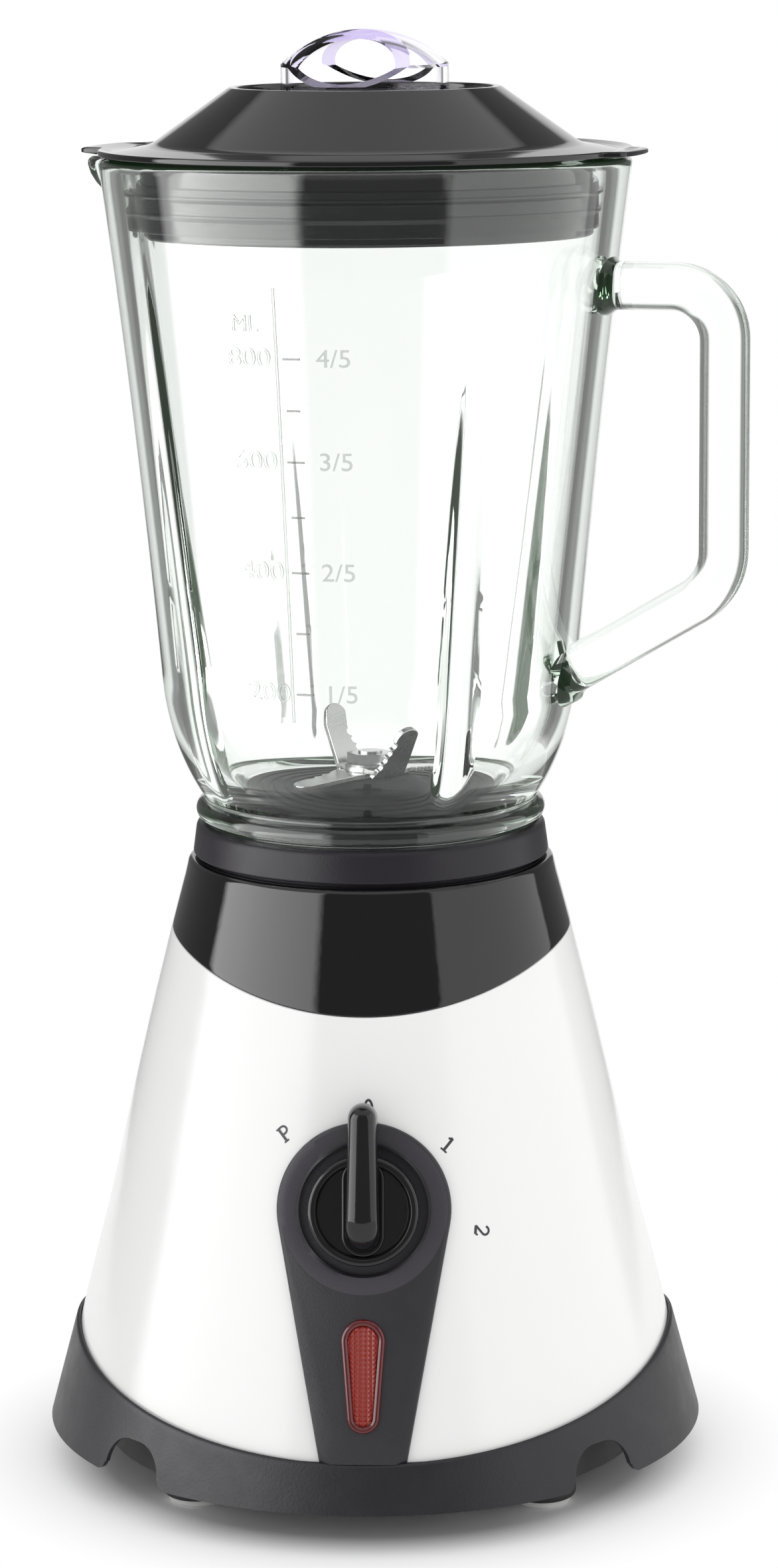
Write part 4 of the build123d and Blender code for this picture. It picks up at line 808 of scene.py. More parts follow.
top_profile = rounded(
    (shell_radius(face_top), face_top, 0),
    (crown_radius, cover_top, 3.4),
    (socket_radius, cover_top, 0.5),
    (socket_radius, socket_floor, 0.4),
    (well_radius, socket_floor, 0.8),
    (well_radius, well_floor, 0.6),
    (shaft_hole, well_floor, 0),
    (shaft_hole, well_floor - cover_wall, 0),
    (well_radius + cover_wall, well_floor - cover_wall, 0),
    (well_radius + cover_wall, socket_floor - cover_wall, 0),
    (web_radius, socket_floor - cover_wall, 0),
    steps=8,
)
cover_rows += [[polar(r, a, z) for a in housing_angles] for r, z in top_profile[1:]]
for share in (0.0, 0.5, 1.0):
    cover_rows.append(
        shell_row(lambda a: between(socket_floor - cover_wall, parting_height(a) + joint_gap, share),
                  cover_wall))
cover = solid("cover_cap", cover_rows, loop=True, sharp=40)
dress(cover, black_gloss, "base", "black_gloss", "top_cover")

# Jar collar
# The ring that screws on the glass neck and clamps the blade unit; its foot drops into the cover's socket.
# It is satin black plastic with a faint violet cast.
collar_black = moulded("collar_black", (0.020, 0.0175, 0.0235), (0.015, 0.0135, 0.018), (0.34, 0.42), 1800,
                       0.04, Specular_IOR_Level=0.32)
collar_foot = 42.2
collar_bore = 33.0
clamp_radius = 39.9
clamp_level = socket_floor + 2.4
collar_lip = cover_top + 1.0
collar_top = collar_lip + 8.1
collar_profile = rounded((collar_bore, socket_floor, 0.3), (collar_foot, socket_floor, 0.5),
                         (collar_foot, collar_lip, 0.3), (44.4, collar_lip, 0.6), (43.3, collar_top, 2.2),
                         (clamp_radius, collar_top, 0.4), (clamp_radius, clamp_level, 0.2),
                         (collar_bore, clamp_level, 0.3))
collar = lathe("collar_ring", collar_profile, turns=192)
dress(collar, collar_black, "jar", "black_satin", "jar_collar")

# Blade holder
# The black moulded floor of the jar, with ring grooves, a flange and a raised hub that carries the shaft.
# The collar clamps its flange against the foot of the glass.
holder_low, holder_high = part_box("blade_holder")
hub_bottom = holder_low.z / MM
hub_top = holder_high.z / MM
jar_floor = hub_bottom + 22.5
shaft_bore = 6.4
hub_radius = 10.0
flange_radius = 39.4
plate_radius = 33.0
dish_radius = 30.6
holder_wall = 2.4
dish_top = jar_floor - holder_wall
flange_top = clamp_level + holder_wall
holder_profile = [
    (shaft_bore, hub_bottom, 0), (hub_radius, hub_bottom, 0.4), (hub_radius, dish_top, 0.6),
    (dish_radius, dish_top, 0.6), (dish_radius, clamp_level, 0), (flange_radius, clamp_level, 0.2),
    (flange_radius, flange_top, 0.2), (plate_radius, flange_top, 0.2), (plate_radius, jar_floor, 1.4),
]
groove_floor = jar_floor - 0.35
first_groove = 29.5
groove_pitch = 3.2
for groove in range(4):
    edge = first_groove - groove_pitch * groove
    holder_profile += [(edge, jar_floor, 0.2), (edge - 0.4, groove_floor, 0.2),
                       (edge - 1.2, groove_floor, 0.2), (edge - 1.6, jar_floor, 0.2)]
holder_profile += [(15.0, jar_floor, 1.2), (hub_radius, hub_top, 0.8), (shaft_bore, hub_top, 0.2)]
holder = lathe("jar_floor_plate", rounded(*holder_profile, steps=4))
floor_black = moulded("floor_black", (0.030, 0.029, 0.033), (0.022, 0.021, 0.025), (0.42, 0.55), 900, 0.03,
                      Specular_IOR_Level=0.35)
dress(holder, floor_black, "jar", "black_plain", "blade_holder")

# Blades
# Two crossed stainless strips, stamped with a scalloped edge: one pair of arms bent up, one slightly down.
# They are clamped on the shaft's stud by a washer and a nut.


def ground_steel():
    """Bright stainless steel with fine grinding lines across Z and faint clouding."""
    material = moulded("ground_blade_steel", (0.78, 0.78, 0.78), (0.7, 0.7, 0.7), (0.2, 0.32), 1500, 0.02,
                       Metallic=1.0)
    tree = material.node_tree
    place = add_node(tree, "ShaderNodeTexCoord")
    squeeze = add_node(tree, "ShaderNodeMapping", Scale=(300, 300, 9000))
    lines = add_node(tree, "ShaderNodeTexNoise", Scale=1.0, Detail=2.0)
    link(tree, place.outputs["Object"], squeeze.inputs["Vector"])
    link(tree, squeeze.outputs["Vector"], lines.inputs["Vector"])
    raise_surface(tree, lines.outputs["Fac"], 0.02)
    return material


blade_steel = ground_steel()
blade_seat = hub_top + 0.5
blade_plate = 1.5
blade_turn = radians(-50.4)
arm_bend = 8.0
arm_root = 5.0
arm_tip = 3.0
arm_overlap = 1.5
bite_pitch = 2.7
bite_radius = 1.3


def arm_outline(length):
    """Points of one arm in its own plane: plain back edge, round tip and scalloped cutting edge."""
    straight = length - arm_tip
    points = [(-arm_overlap, -arm_root), (straight, -arm_tip)]
    for step in range(1, 12):
        bend = radians(-90 + 180 * step / 12)
        points.append((straight + arm_tip * cos(bend), arm_tip * sin(bend)))
    points.append((straight, arm_tip))
    for bite in reversed(range(int((straight - bite_pitch) / bite_pitch))):
        reach = (bite + 1) * bite_pitch
        edge = between(arm_root, arm_tip, (reach + arm_overlap) / (straight + arm_overlap)) + 0.1
        for step in range(7):
            bend = radians(-20 - 140 * step / 6)
            points.append((reach + bite_radius * cos(bend), edge + bite_radius * sin(bend)))
    points.append((-arm_overlap, arm_root))
    return [(x, -y) for x, y in points]


def round_edges(thing, width, segments, sharp):
    """Rounds a piece's edges that are steeper than an angle, by a width in millimetres."""
    bevel = thing.modifiers.new("edge", "BEVEL")
    bevel.width = width * MM
    bevel.segments = segments
    bevel.limit_method = "ANGLE"
    bevel.angle_limit = radians(sharp)


def blade_strip(name, height, turn, angle, length):
    """Blade of a flat hub plate and two bent arms, as one object."""
    work = bmesh.new()
    lift = Matrix.Translation((0, 0, height))
    hub = [spot[:2] for spot in ring_points(shaft_bore, 0, 48)]
    bar = [(-arm_bend, -arm_root), (arm_bend, -arm_root), (arm_bend, arm_root), (-arm_bend, arm_root)]
    plates = [(hub, lift), (bar, lift @ Matrix.Rotation(turn, 4, "Z"))]
    for half in (0, pi):
        place = lift @ Matrix.Rotation(turn + half, 4, "Z")
        place = place @ Matrix.Translation((arm_bend, 0, 0)) @ Matrix.Rotation(-angle, 4, "Y")
        plates.append((arm_outline(length), place))
    for outline, place in plates:
        lower, upper = [
            [work.verts.new((place @ Vector((x, y, level))) * MM) for x, y in outline]
            for level in (0, blade_plate)
        ]
        work.faces.new(lower[::-1])
        work.faces.new(upper)
        for j in range(len(outline)):
            k = (j + 1) % len(outline)
            work.faces.new((lower[j], lower[k], upper[k], upper[j]))
    bmesh.ops.recalc_face_normals(work, faces=work.faces)
    thing = from_work(name, work)
    round_edges(thing, 0.18, 2, 50)
    return thing


upper_blade = blade_strip("blade_upper", blade_seat + blade_plate, blade_turn,
                          angle=radians(58.5), length=16.8)
dress(upper_blade, blade_steel, "blades", "blade_steel", "upper_blade")
lower_blade = blade_strip("blade_lower", blade_seat, blade_turn + pi / 2, angle=radians(-7), length=15.0)
dress(lower_blade, blade_steel, "blades", "blade_steel", "lower_blade")
dress_nodes(shaft_steel, "blade_washer", "blade_nut")

# Glass jar
# A thick pressed glass jar with a bead over its neck, four inner ribs, a pouring spout and a glass handle.
# Long paths through the wall show the slight green of soda glass.
jar_low, jar_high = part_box("glass_jar")
glass_bottom = jar_low.z / MM
rim_top = jar_high.z / MM
handle_turn = radians(-16)
spout_turn = handle_turn + pi
belly_z = glass_bottom + 42.4
rib_top_z = rim_top - 33.0
rim_radius = 65.0
belly_radius = 51.2
belly_inside = 45.2
wall_lean = (59.0 - belly_inside) / (rim_top - belly_z)
rib_radius = 5.2
rib_foot_centre = 45.9
rib_top_centre = 60.7
spout_depth = 24.0
spout_centre = 57.2
spout_foot_radius = 2.3
jar_angles = [FULL_TURN * j / 360 for j in range(360)]


def through(first, middle, last, steps):
    """Points on the arc through three points, without its first point."""
    ax, ay, bx, by, cx, cy = *first, *middle, *last
    scale = 2 * (ax * (by - cy) + bx * (cy - ay) + cx * (ay - by))
    a, b, c = [x * x + y * y for x, y in (first, middle, last)]
    ux = (a * (by - cy) + b * (cy - ay) + c * (ay - by)) / scale
    uy = (a * (cx - bx) + b * (ax - cx) + c * (bx - ax)) / scale
    return arc_about((ux, uy), first, last, steps)[1:]


def spout_reach(delta, z, radius_top, reach_foot):
    """Radius of the spout's cone at an angle from its middle and a height, or 0 beside it."""
    share = (z - (rim_top - spout_depth)) / spout_depth
    if share <= 0 or cos(delta) <= 0:
        return 0.0
    centre = between(reach_foot, spout_centre, share)
    radius = between(spout_foot_radius, radius_top, share)
    across = centre * sin(delta)
    if abs(across) >= radius:
        return 0.0
    return centre * cos(delta) + sqrt(radius * radius - across * across)


def turn_between(a, b):
    """Signed angle from b to a."""
    return (a - b + pi) % FULL_TURN - pi


def outer_radius(r, z, angle):
    """Outer radius of the jar, with its spout."""
    spout = spout_reach(turn_between(angle, spout_turn), z, radius_top=14.0, reach_foot=58.6)
    if spout > r - 6:
        lip = max(0.0, 1 - ((z - rim_top + 4.2) / 4.4) ** 2)
        edge = max(0.0, z - rim_top + 1.6)
        r = blend_max(r, spout + 1.5 * lip - edge * edge / 2.0, 0.9)
    return r


def inner_radius(r, z, angle):
    """Inner radius of the jar, with its ribs and the hollow of the spout."""
    spout = spout_reach(turn_between(angle, spout_turn), z, radius_top=9.4, reach_foot=52.6)
    if spout > r - 6:
        r = blend_max(r, spout, 0.9)
    for k in range(4):
        delta = turn_between(angle, handle_turn + radians(45 + 90 * k))
        centre = between(rib_foot_centre, rib_top_centre, (z - belly_z) / (rib_top_z - belly_z))
        across = centre * sin(delta)
        if cos(delta) > 0 and abs(across) < rib_radius:
            rib = centre * cos(delta) - sqrt(rib_radius**2 - across * across)
            r = -blend_max(-r, -rib, 0.7)
    return r


neck_radius = 39.4
bead_bottom = collar_top + 0.3
bead_top = bead_bottom + 5.9
outside = [(neck_radius, glass_bottom + 0.6), (neck_radius, bead_bottom - 0.6)]
outside += through(outside[-1], (neck_radius + 0.5, bead_bottom), (41.2, bead_bottom + 0.1), 4)
outside += through((41.2, bead_bottom + 0.1), (43.5, bead_bottom + 2.5), (41.9, bead_top - 0.7), 12)
outside += through(outside[-1], (41.5, bead_top), (42.0, bead_top + 0.9), 4)
outside += through(outside[-1], (47.7, glass_bottom + 27.8), (belly_radius, belly_z), 16)
wall_mid = ((belly_radius + rim_radius) / 2 - 0.8, (belly_z + rim_top) / 2)
outside += through((belly_radius, belly_z), wall_mid, (rim_radius, rim_top), 60)[:-1]
outside += through((64.9, rim_top - 1.6), (64.4, rim_top - 0.4), (63.2, rim_top), 5)
inside = [(60.6, rim_top)] + through((60.6, rim_top), (59.3, rim_top - 0.5), (58.9, rim_top - 1.6), 5)
for step in range(1, 61):
    level = between(rim_top - 1.6, belly_z, step / 60)
    inside.append((belly_inside + wall_lean * (level - belly_z), level))
foot_inside = 33.5
inside += through((belly_inside, belly_z), (41.7, glass_bottom + 27.8), (foot_inside, jar_floor + 1.5), 18)
inside += [(foot_inside, jar_floor), (foot_inside, glass_bottom + 0.6), (foot_inside + 0.6, glass_bottom),
           (neck_radius - 0.6, glass_bottom)]
jar_rows = [[polar(outer_radius(r, z, a), a, z) for a in jar_angles] for r, z in outside]
jar_rows += [[polar(inner_radius(r, z, a), a, z) for a in jar_angles] for r, z in inside]
jar = solid("jar_body", jar_rows, loop=True, sharp=60)
handle_half_width = 7.0
handle_half_depth = 5.75
handle_squareness = 2.6
handle_reach = 90.0
handle_top = rim_top - 30.0
handle_elbow = rim_top - 101.5
handle_foot = rim_top - 126.9
root_fillet = 2.6
upper_root = 2.6
lower_root = 3.5


def handle_rows():
    """Rings of the handle: a rounded bar along its bent path, with a round fillet at both roots."""
    path = rounded((59.0, handle_top, 0), (handle_reach, handle_top, 12.5),
                   (handle_reach, handle_elbow, 14.0), (47.6, handle_foot, 0), steps=14)
    fine = []
    for first, last in pairwise(path):
        first, last = Vector(first), Vector(last)
        pieces = max(1, int((last - first).length / 0.8))
        fine += [first.lerp(last, step / pieces) for step in range(pieces)]
    fine.append(Vector(path[-1]))
    length = [0.0]
    for first, last in pairwise(fine):
        length.append(length[-1] + (last - first).length)
    rows = []
    for i, point in enumerate(fine):
        ahead = fine[min(i + 1, len(fine) - 1)] - fine[max(i - 1, 0)]
        side = Vector((-ahead.y, ahead.x)).normalized()
        nearest = min(length[i] - upper_root, length[-1] - length[i] - lower_root)
        nearest = min(max(nearest, 0.3), root_fillet)
        swell = root_fillet - sqrt(root_fillet**2 - (root_fillet - nearest) ** 2)
        ring = []
        for x, y, _ in ring_points(1, 0, 40):
            across, over = [
                (half + swell) * copysign(abs(share) ** (2 / handle_squareness), share)
                for half, share in ((handle_half_width, x), (handle_half_depth, y))
            ]
            spot = point + side * over
            ring.append((*turned(spot.x, across, handle_turn), spot.y))
        rows.append(ring)
    return rows


handle = solid("jar_handle_bar", handle_rows(), sharp=60)
combine(jar, handle, "UNION")
smooth(jar.data, 50)


def absorb(material, colour, density):
    """Fills a clear material with a colour that deepens along the path of the light."""
    tree = material.node_tree
    tint = add_node(tree, "ShaderNodeVolumeAbsorption", Color=(*colour, 1), Density=density)
    link(tree, tint.outputs["Volume"], tree.nodes["Material Output"].inputs["Volume"])


def pressed_glass():
    """Clear glass, faintly green, with a low glow in place of light on very long paths inside the wall."""
    material = glassy("pressed_jar_glass", (1.0, 1.0, 1.0), 1.5)
    absorb(material, (0.64, 0.82, 0.66), 16.0)
    tree = material.node_tree
    shader = socket_value(tree.nodes["Principled BSDF"], Emission_Color=(0.75, 1.0, 0.7, 1))
    rays = add_node(tree, "ShaderNodeLightPath")
    deep = reckon(tree, "GREATER_THAN", rays.outputs["Ray Depth"], 5)
    link(tree, reckon(tree, "MULTIPLY", deep, 0.045), shader.inputs["Emission Strength"])
    return material


jar_glass = pressed_glass()
dress(jar, jar_glass, "jar", "jar_glass", "glass_jar")

# Measuring scale
# Faint raised marks in the glass left of the front: a tick for each 100 ml, numbers, fifths and a seam line.
# They are pressed with the jar and very low; their grey is painted shade in the glass, standing in for the
# dark edges that refraction gives the relief.
# Both glasses are tinted grey as painted shade: lighter for numbers and seam, darker for the ticks.
scale_glass_painted_shade = glassy("scale_glass_painted_shade", (0.70, 0.71, 0.70), 1.5)
tick_glass_painted_shade = glassy("tick_glass_painted_shade", (0.34, 0.35, 0.34), 1.5)
relief = 0.3
sunk = 0.03


def wall_radius(z):
    """Outer radius of the jar's tapered wall at a height."""
    for (low_r, low_z), (high_r, high_z) in pairwise(outside):
        if low_z <= z <= high_z and low_z >= belly_z - 20:
            return low_r + (high_r - low_r) * (z - low_z) / (high_z - low_z)
    return rim_radius


def jar_place(azimuth, height, widen=1.0):
    """Maps sideways and up to the jar's wall about a point at an azimuth from the front and a height."""
    def place(across, up, lift):
        angle = radians(azimuth - 90) + across * widen / wall_radius(height)
        return polar(wall_radius(height + up) + lift, angle, height + up)
    return place


def relief_bar(name, azimuth, low, high, width, material):
    """Raised bar on the wall between two heights."""
    rows = []
    pieces = max(1, int((high - low) / 2.5))
    for step in range(pieces + 1):
        place = jar_place(azimuth, low + (high - low) * step / pieces)
        sides = (-width / 2, 0, width / 2)
        rows.append([place(x, 0, -sunk) for x in sides] + [place(x, 0, relief) for x in sides[::-1]])
    return dress(solid(name, rows), material, "jar", "jar_glass")


def relief_words(name, words, size, place):
    """Raised lettering; place maps (sideways, up, raised) in millimetres to a point."""
    curve = bpy.data.curves.new(name, "FONT")
    curve.body = words
    curve.size = size
    curve.align_x = "CENTER"
    curve.align_y = "CENTER"
    curve.resolution_u = 6
    curve.extrude = relief / 2
    template = bpy.data.objects.new(name, curve)
    mesh = bpy.data.meshes.new_from_object(template)
    bpy.data.objects.remove(template)
    work = bmesh.new()
    work.from_mesh(mesh)
    bmesh.ops.subdivide_edges(work, edges=[e for e in work.edges if e.calc_length() > 1.2], cuts=2)
    for vertex in work.verts:
        vertex.co = Vector(place(vertex.co.x, vertex.co.y, relief / 2 - sunk + vertex.co.z)) * MM
    work.to_mesh(mesh)
    work.free()
    mesh.name = name
    return dress(placed(name, mesh), scale_glass_painted_shade, "jar", "jar_glass")


scale_heights = (203.0, 217.8, 232.5, 245.8, 259.0, 271.2, 283.4)
tick_azimuth = -14.9
number_azimuth = -25.2
fifth_azimuth = -5.2
tick_half = 0.25
for number, height in enumerate(scale_heights):
    long_mark = number % 2 == 0
    volume = f"{number + 2}00"
    width = 4.2 if long_mark else 3.2
    relief_bar(f"scale_tick_{volume}", tick_azimuth, height - tick_half, height + tick_half, width,
               tick_glass_painted_shade)
    if long_mark:
        fifths = number // 2 + 1
        relief_words(f"scale_number_{volume}", volume, 6.4, jar_place(number_azimuth, height, 1.2))
        relief_words(f"scale_fifth_{fifths}", f"{fifths}/5", 6.0, jar_place(fifth_azimuth, height, 1.1))
relief_words("scale_header", "ML", 5.6, jar_place(-25.8, 291.4))
relief_bar("scale_seam", azimuth=-18.4, low=196.0, high=300.0, width=0.6, material=scale_glass_painted_shade)

# Lid
# A polished black moulding: a cone with a sunk middle, a thin brim with a raised edge, and a plug in the jar.
# Two short tabs on the brim cover the spout and point to the handle.
lid_top = rim_top + 17.0
well_of_lid = lid_top - 3.0
plug_bottom = rim_top - 17.8
brim_root = 62.0
brim_edge = 65.0
well_of_lid_radius = 31.2
filler_hole = 19.3
collar_of_hole = 21.5
hole_foot = well_of_lid - 5.0
plug_outside = 55.5
plug_inside = 53.1
handle_tab = 69.0
spout_tab = 70.6
tab_radius = 67.0
tab_half = 14.0
tab_fade = 3.2


def brim_radius(angle):
    """Radius of the brim, longer over the spout and towards the handle."""
    radius = brim_edge
    for turn, reach in ((handle_turn, handle_tab), (spout_turn, spout_tab)):
        across = abs(turn_between(angle, turn)) * tab_radius
        share = max(0.0, min(1.0, (tab_half - across) / tab_fade))
        radius = max(radius, between(brim_edge, reach, share * share * (3 - 2 * share)))
    return radius


def brim_reach(radius, angle):
    """Radius of a point of the lid's profile at an angle, drawn out where it lies on the brim."""
    if radius <= brim_root:
        return radius
    return brim_root + (radius - brim_root) * (brim_radius(angle) - brim_root) / (brim_edge - brim_root)


lid_profile = rounded(
    (filler_hole, well_of_lid, 0.5),
    (well_of_lid_radius, well_of_lid, 0.6),
    (well_of_lid_radius, lid_top, 0.6),
    (33.0, lid_top, 0.8),
    (52.5, rim_top + 3.2, 7.0),
    (brim_root, rim_top + 1.6, 3.0),
    (brim_edge, rim_top + 2.6, 0.6),
    (brim_edge, rim_top + 1.0, 0.4),
    (brim_root, rim_top, 2.0),
    (plug_outside, rim_top, 0.5),
    (plug_outside, plug_bottom, 0.8),
    (plug_inside, plug_bottom, 0.4),
    (plug_inside, rim_top + 1.1, 1.5),
    (38.6, rim_top + 11.6, 1.5),
    (collar_of_hole, rim_top + 11.8, 0.5),
    (collar_of_hole, hole_foot, 0.5),
    (filler_hole, hole_foot, 0.3),
    steps=8,
)
lid_rows = [[polar(brim_reach(r, a), a, z) for a in jar_angles] for r, z in lid_profile]
lid = solid("lid_shell", lid_rows, loop=True, sharp=40)
dress(lid, black_gloss, "cover", "black_gloss", "lid")

# Lid seal
# A soft black sleeve, pulled over the lid's plug.
# Its two thin lips wipe the glass.
seal_inside = plug_outside + 0.1
seal_outside = seal_inside + 1.1
seal_bottom = plug_bottom + 2.0
seal_top = plug_bottom + 13.0
lip_rise = 5.4
lip_pitch = 4.3
lip_clearance = 0.3
seal_profile = [(seal_inside, seal_bottom, 0), (seal_outside, seal_bottom, 0.3)]
for lip in range(2):
    lip_z = plug_bottom + lip_rise + lip_pitch * lip
    lip_r = belly_inside + wall_lean * (lip_z - belly_z) - lip_clearance
    seal_profile += [(seal_outside, lip_z, 0.2), (lip_r, lip_z + 1.0, 0.15), (lip_r, lip_z + 1.4, 0.15),
                     (seal_outside, lip_z + 1.5, 0.2)]
seal_profile += [(seal_outside, seal_top, 0.3), (seal_inside, seal_top, 0)]
seal_rubber = moulded("glossy_seal_rubber", (0.012, 0.012, 0.013), (0.008, 0.008, 0.009), (0.1, 0.18), 600,
                      0.02)
seal = lathe("lid_seal_sleeve", rounded(*seal_profile, steps=4), turns=192)
dress(seal, seal_rubber, "cover", "seal_rubber", "lid_seal")

# Filler cap
# A clear cup that plugs the filler hole and doubles as a small measure.
# Two sloping scoops cut in its dome leave an arched grip; the cut edges look faintly violet.
cap_radius = 20.4
cap_wall = 1.8
cap_bottom = well_of_lid - 19.0
dome_rise = 8.4
dome_foot = well_of_lid + 8.4
cap_top = dome_foot + dome_rise
dome_radius = (cap_radius**2 + dome_rise**2) / (2 * dome_rise)
dome_centre = cap_top - dome_radius
cup_outside = 18.8
cup_inside = cup_outside - cap_wall
cup_edge = 0.4
scoop_half = 2.4
scoop_reach = 19.4
scoop_top = cap_top + 0.1
scoop_foot = well_of_lid + 3.4
past_cap = 30.0
over_cap = cap_top + 5


def dome(radius, foot_radius, foot_z, steps):
    """Points of a dome from its foot to its crown on the axis."""
    start = atan2(foot_z - dome_centre, foot_radius)
    bends = [between(start, pi / 2, step / steps) for step in range(steps + 1)]
    return [(radius * cos(bend), dome_centre + radius * sin(bend)) for bend in bends]


inner_foot = dome_centre + sqrt((dome_radius - cap_wall) ** 2 - (cap_radius - cap_wall) ** 2)
outer_dome = [(cap_radius, well_of_lid + 0.3)] + dome(dome_radius, cap_radius, dome_foot, 20)
cap_profile = outer_dome[::-1] + [
    (cap_radius - 0.3, well_of_lid), (cup_outside, well_of_lid), (cup_outside, cap_bottom + cup_edge),
    (cup_outside - cup_edge, cap_bottom), (cup_inside + cup_edge, cap_bottom),
    (cup_inside, cap_bottom + cup_edge), (cup_inside, well_of_lid), (0, well_of_lid),
]
cap = lathe("cap_cup", cap_profile, turns=144)
scoop_turns = [handle_turn + radians(side) for side in (90, 270)]
wedge = [(scoop_half, scoop_top), (scoop_reach, scoop_foot), (past_cap, scoop_foot), (past_cap, over_cap),
         (scoop_half, over_cap)]
for turn in scoop_turns:
    wedge_rows = [[(*turned(y, x, turn), z) for y, z in wedge] for x in (-past_cap, past_cap)]
    combine(cap, solid("cap_scoop", wedge_rows), "DIFFERENCE")
floor_level = well_of_lid + cap_wall
hollow = [(0, floor_level), (cap_radius - cap_wall, floor_level)]
hollow += dome(dome_radius - cap_wall, cap_radius - cap_wall, inner_foot, 20)
combine(cap, lathe("cap_hollow", hollow, turns=144), "DIFFERENCE")
smooth(cap.data, 40)
round_edges(cap, 0.35, 3, 40)
cap_clear = glassy("clear_cap_plastic", (0.985, 0.98, 1.0), 1.16)
absorb(cap_clear, (0.72, 0.66, 0.86), 3.0)
dress(cap, cap_clear, "cap", "clear_plastic", "filler_cap")
cap.data.materials.append(glassy("violet_cut_edge", (0.60, 0.52, 0.82), 1.16))
for turn in scoop_turns:
    cut_out = Vector(polar(scoop_top - scoop_foot, turn, scoop_reach - scoop_half)).normalized()
    for face in cap.data.polygons:
        if face.normal.dot(cut_out) > 0.995:
            face.material_index = 1

# Studio
# A plain white floor and sky with two tall soft boxes at the sides and one overhead.
# A long lens looks down a little from the front.
floor_mesh = bpy.data.meshes.new("floor")
floor_edge = [Vector(point) * MM for point in ring_points(450.0, 0, 96)]
floor_mesh.from_pydata(floor_edge, [], [tuple(range(len(floor_edge)))])
floor = placed("floor", floor_mesh)


def remap(tree, value, kind="LINEAR", **limits):
    """Socket with a value moved from one range to another."""
    node = add_node(tree, "ShaderNodeMapRange", **limits)
    node.interpolation_type = kind
    link(tree, value, node.inputs["Value"])
    return node.outputs["Result"]


def floor_white():
    """White floor that shows the object's shadow near it and turns to plain white further off."""
    material, tree, shader = new_material("floor_white")
    socket_value(shader, Base_Color=(0.93, 0.93, 0.93, 1), Roughness=0.9, Specular_IOR_Level=0.1)
    place = add_node(tree, "ShaderNodeTexCoord")
    far = add_node(tree, "ShaderNodeVectorMath")
    far.operation = "LENGTH"
    link(tree, place.outputs["Object"], far.inputs[0])
    fade = remap(tree, far.outputs["Value"], From_Min=0.07, From_Max=0.108)
    rays = add_node(tree, "ShaderNodeLightPath")
    seen = reckon(tree, "MAXIMUM", rays.outputs["Is Camera Ray"], rays.outputs["Is Transmission Ray"])
    plain = add_node(tree, "ShaderNodeEmission", Strength=1.0)
    mix = add_node(tree, "ShaderNodeMixShader")
    link(tree, reckon(tree, "MULTIPLY", fade, seen), mix.inputs["Fac"])
    link(tree, shader.outputs["BSDF"], mix.inputs[1])
    link(tree, plain.outputs["Emission"], mix.inputs[2])
    link(tree, mix.outputs["Shader"], tree.nodes["Material Output"].inputs["Surface"])
    return material


floor.data.materials.append(floor_white())


def band(tree, value, low, high, soft):
    """Socket that is 1 while a value lies between two limits, with soft edges."""
    edges = [
        remap(tree, value, "SMOOTHSTEP", From_Min=limit - soft, From_Max=limit + soft,
              To_Min=start, To_Max=end)
        for limit, start, end in ((low, 0.0, 1.0), (high, 1.0, 0.0))
    ]
    return reckon(tree, "MULTIPLY", *edges)


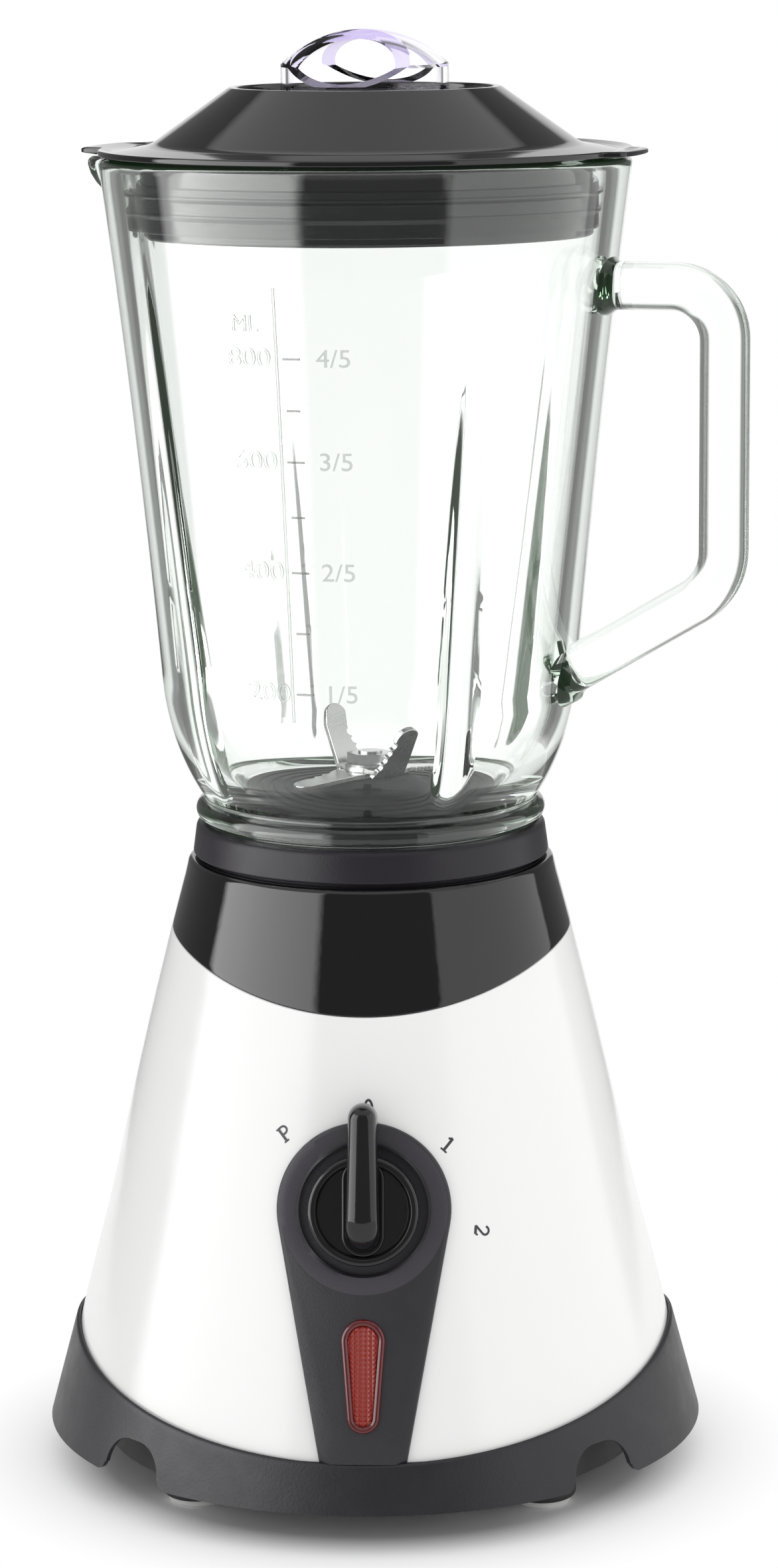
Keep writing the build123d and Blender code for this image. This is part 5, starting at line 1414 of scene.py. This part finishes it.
def studio_sky():
    """White sky and even light, with soft boxes, a ceiling and a backdrop for mirrors and glass."""
    world = bpy.data.worlds.new("studio")
    world.use_nodes = True
    tree = world.node_tree
    ground = tree.nodes["Background"]
    ray = position(tree, "Generated")
    rise = ray["Z"]
    azimuth = reckon(tree, "ARCTAN2", ray["X"], reckon(tree, "MULTIPLY", ray["Y"], -1))
    slope = remap(tree, azimuth, From_Min=radians(-80), From_Max=radians(-28), To_Min=4.2, To_Max=2.7)
    left = reckon(tree, "MULTIPLY", band(tree, azimuth, radians(-99), radians(-29), 0.06), slope)
    right = reckon(tree, "MULTIPLY", band(tree, azimuth, radians(40), radians(124), 0.03), 1.25)
    sides = reckon(tree, "MULTIPLY", reckon(tree, "ADD", left, right), band(tree, rise, -0.6, 0.62, 0.06))
    rays = add_node(tree, "ShaderNodeLightPath")
    through_glass = rays.outputs["Is Transmission Ray"]
    astern = reckon(tree, "ABSOLUTE", azimuth, 0)
    straight = reckon(tree, "LESS_THAN", rays.outputs["Glossy Depth"], 0.5)
    before = reckon(tree, "MULTIPLY", band(tree, astern, -1.0, radians(26), 0.08), straight)
    seen_through = reckon(tree, "MAXIMUM", band(tree, astern, radians(154), 4.0, 0.08), before)
    behind = reckon(tree, "MAXIMUM", band(tree, astern, radians(166), 4.0, 0.05),
                    reckon(tree, "MULTIPLY", seen_through, through_glass))
    backdrop = reckon(tree, "MULTIPLY", behind, band(tree, rise, -2.0, 0.4, 0.12))
    gain = reckon(tree, "ADD", reckon(tree, "MULTIPLY", through_glass, 0.15), 1)
    backdrop = reckon(tree, "MULTIPLY", backdrop, gain)
    ceiling = reckon(tree, "MULTIPLY", band(tree, rise, 0.63, 2.0, 0.05), 0.85)
    below = reckon(tree, "MULTIPLY", band(tree, rise, -2.0, -0.35, 0.1), 0.8)
    mirrored = 0.22
    for light in (sides, backdrop, ceiling, below):
        mirrored = reckon(tree, "MAXIMUM", light, mirrored)
    bounced = reckon(tree, "MAXIMUM", rays.outputs["Is Glossy Ray"], through_glass)
    even = reckon(tree, "MULTIPLY", reckon(tree, "SUBTRACT", 1, bounced), 0.93)
    level = reckon(tree, "ADD", even, reckon(tree, "MULTIPLY", bounced, mirrored))
    link(tree, reckon(tree, "MAXIMUM", level, rays.outputs["Is Camera Ray"]), ground.inputs["Strength"])
    ground.inputs["Color"].default_value = (1, 1, 1, 1)
    bpy.context.scene.world = world


studio_sky()


def soft_box(name, azimuth, distance, height, wide, tall, power):
    """Large flat lamp at an azimuth from the front, aimed at the jar."""
    lamp = bpy.data.lights.new(name, "AREA")
    lamp.shape = "RECTANGLE"
    lamp.size = wide
    lamp.size_y = tall
    lamp.energy = power
    thing = placed(name, lamp)
    thing.location = polar(distance, radians(azimuth - 90), height)
    aim = Vector((0, 0, 0.2)) - thing.location
    thing.rotation_euler = aim.to_track_quat("-Z", "Y").to_euler()
    thing.visible_glossy = False
    thing.visible_transmission = False


soft_box("box_left", azimuth=-64, distance=1.6, height=0.55, wide=2.0, tall=2.2, power=2.6)
soft_box("box_right", azimuth=84, distance=1.6, height=0.55, wide=2.6, tall=2.2, power=6.5)
soft_box("box_above", azimuth=0, distance=0.01, height=1.7, wide=1.6, tall=1.6, power=2.2)

camera_data = bpy.data.cameras.new("camera")
camera_data.sensor_fit = "VERTICAL"
camera_data.sensor_height = 36.0
photo_height = 2362
focal_pixels = 6707
camera_data.lens = camera_data.sensor_height * focal_pixels / photo_height
camera = placed("camera", camera_data)
camera_yaw = radians(2.0)
camera_pitch = radians(10.948)
camera_roll = -0.00724
camera_offset = Vector((4.62, -1091.0, 382.8)) * MM
camera.location = Matrix.Rotation(camera_yaw, 3, "Z") @ camera_offset
turn = Matrix.Rotation(camera_yaw, 3, "Z") @ Matrix.Rotation(pi / 2 - camera_pitch, 3, "X")
camera.rotation_euler = (turn @ Matrix.Rotation(camera_roll, 3, "Z")).to_euler()
bpy.context.scene.camera = camera
bpy.context.scene.view_settings.view_transform = "Standard"
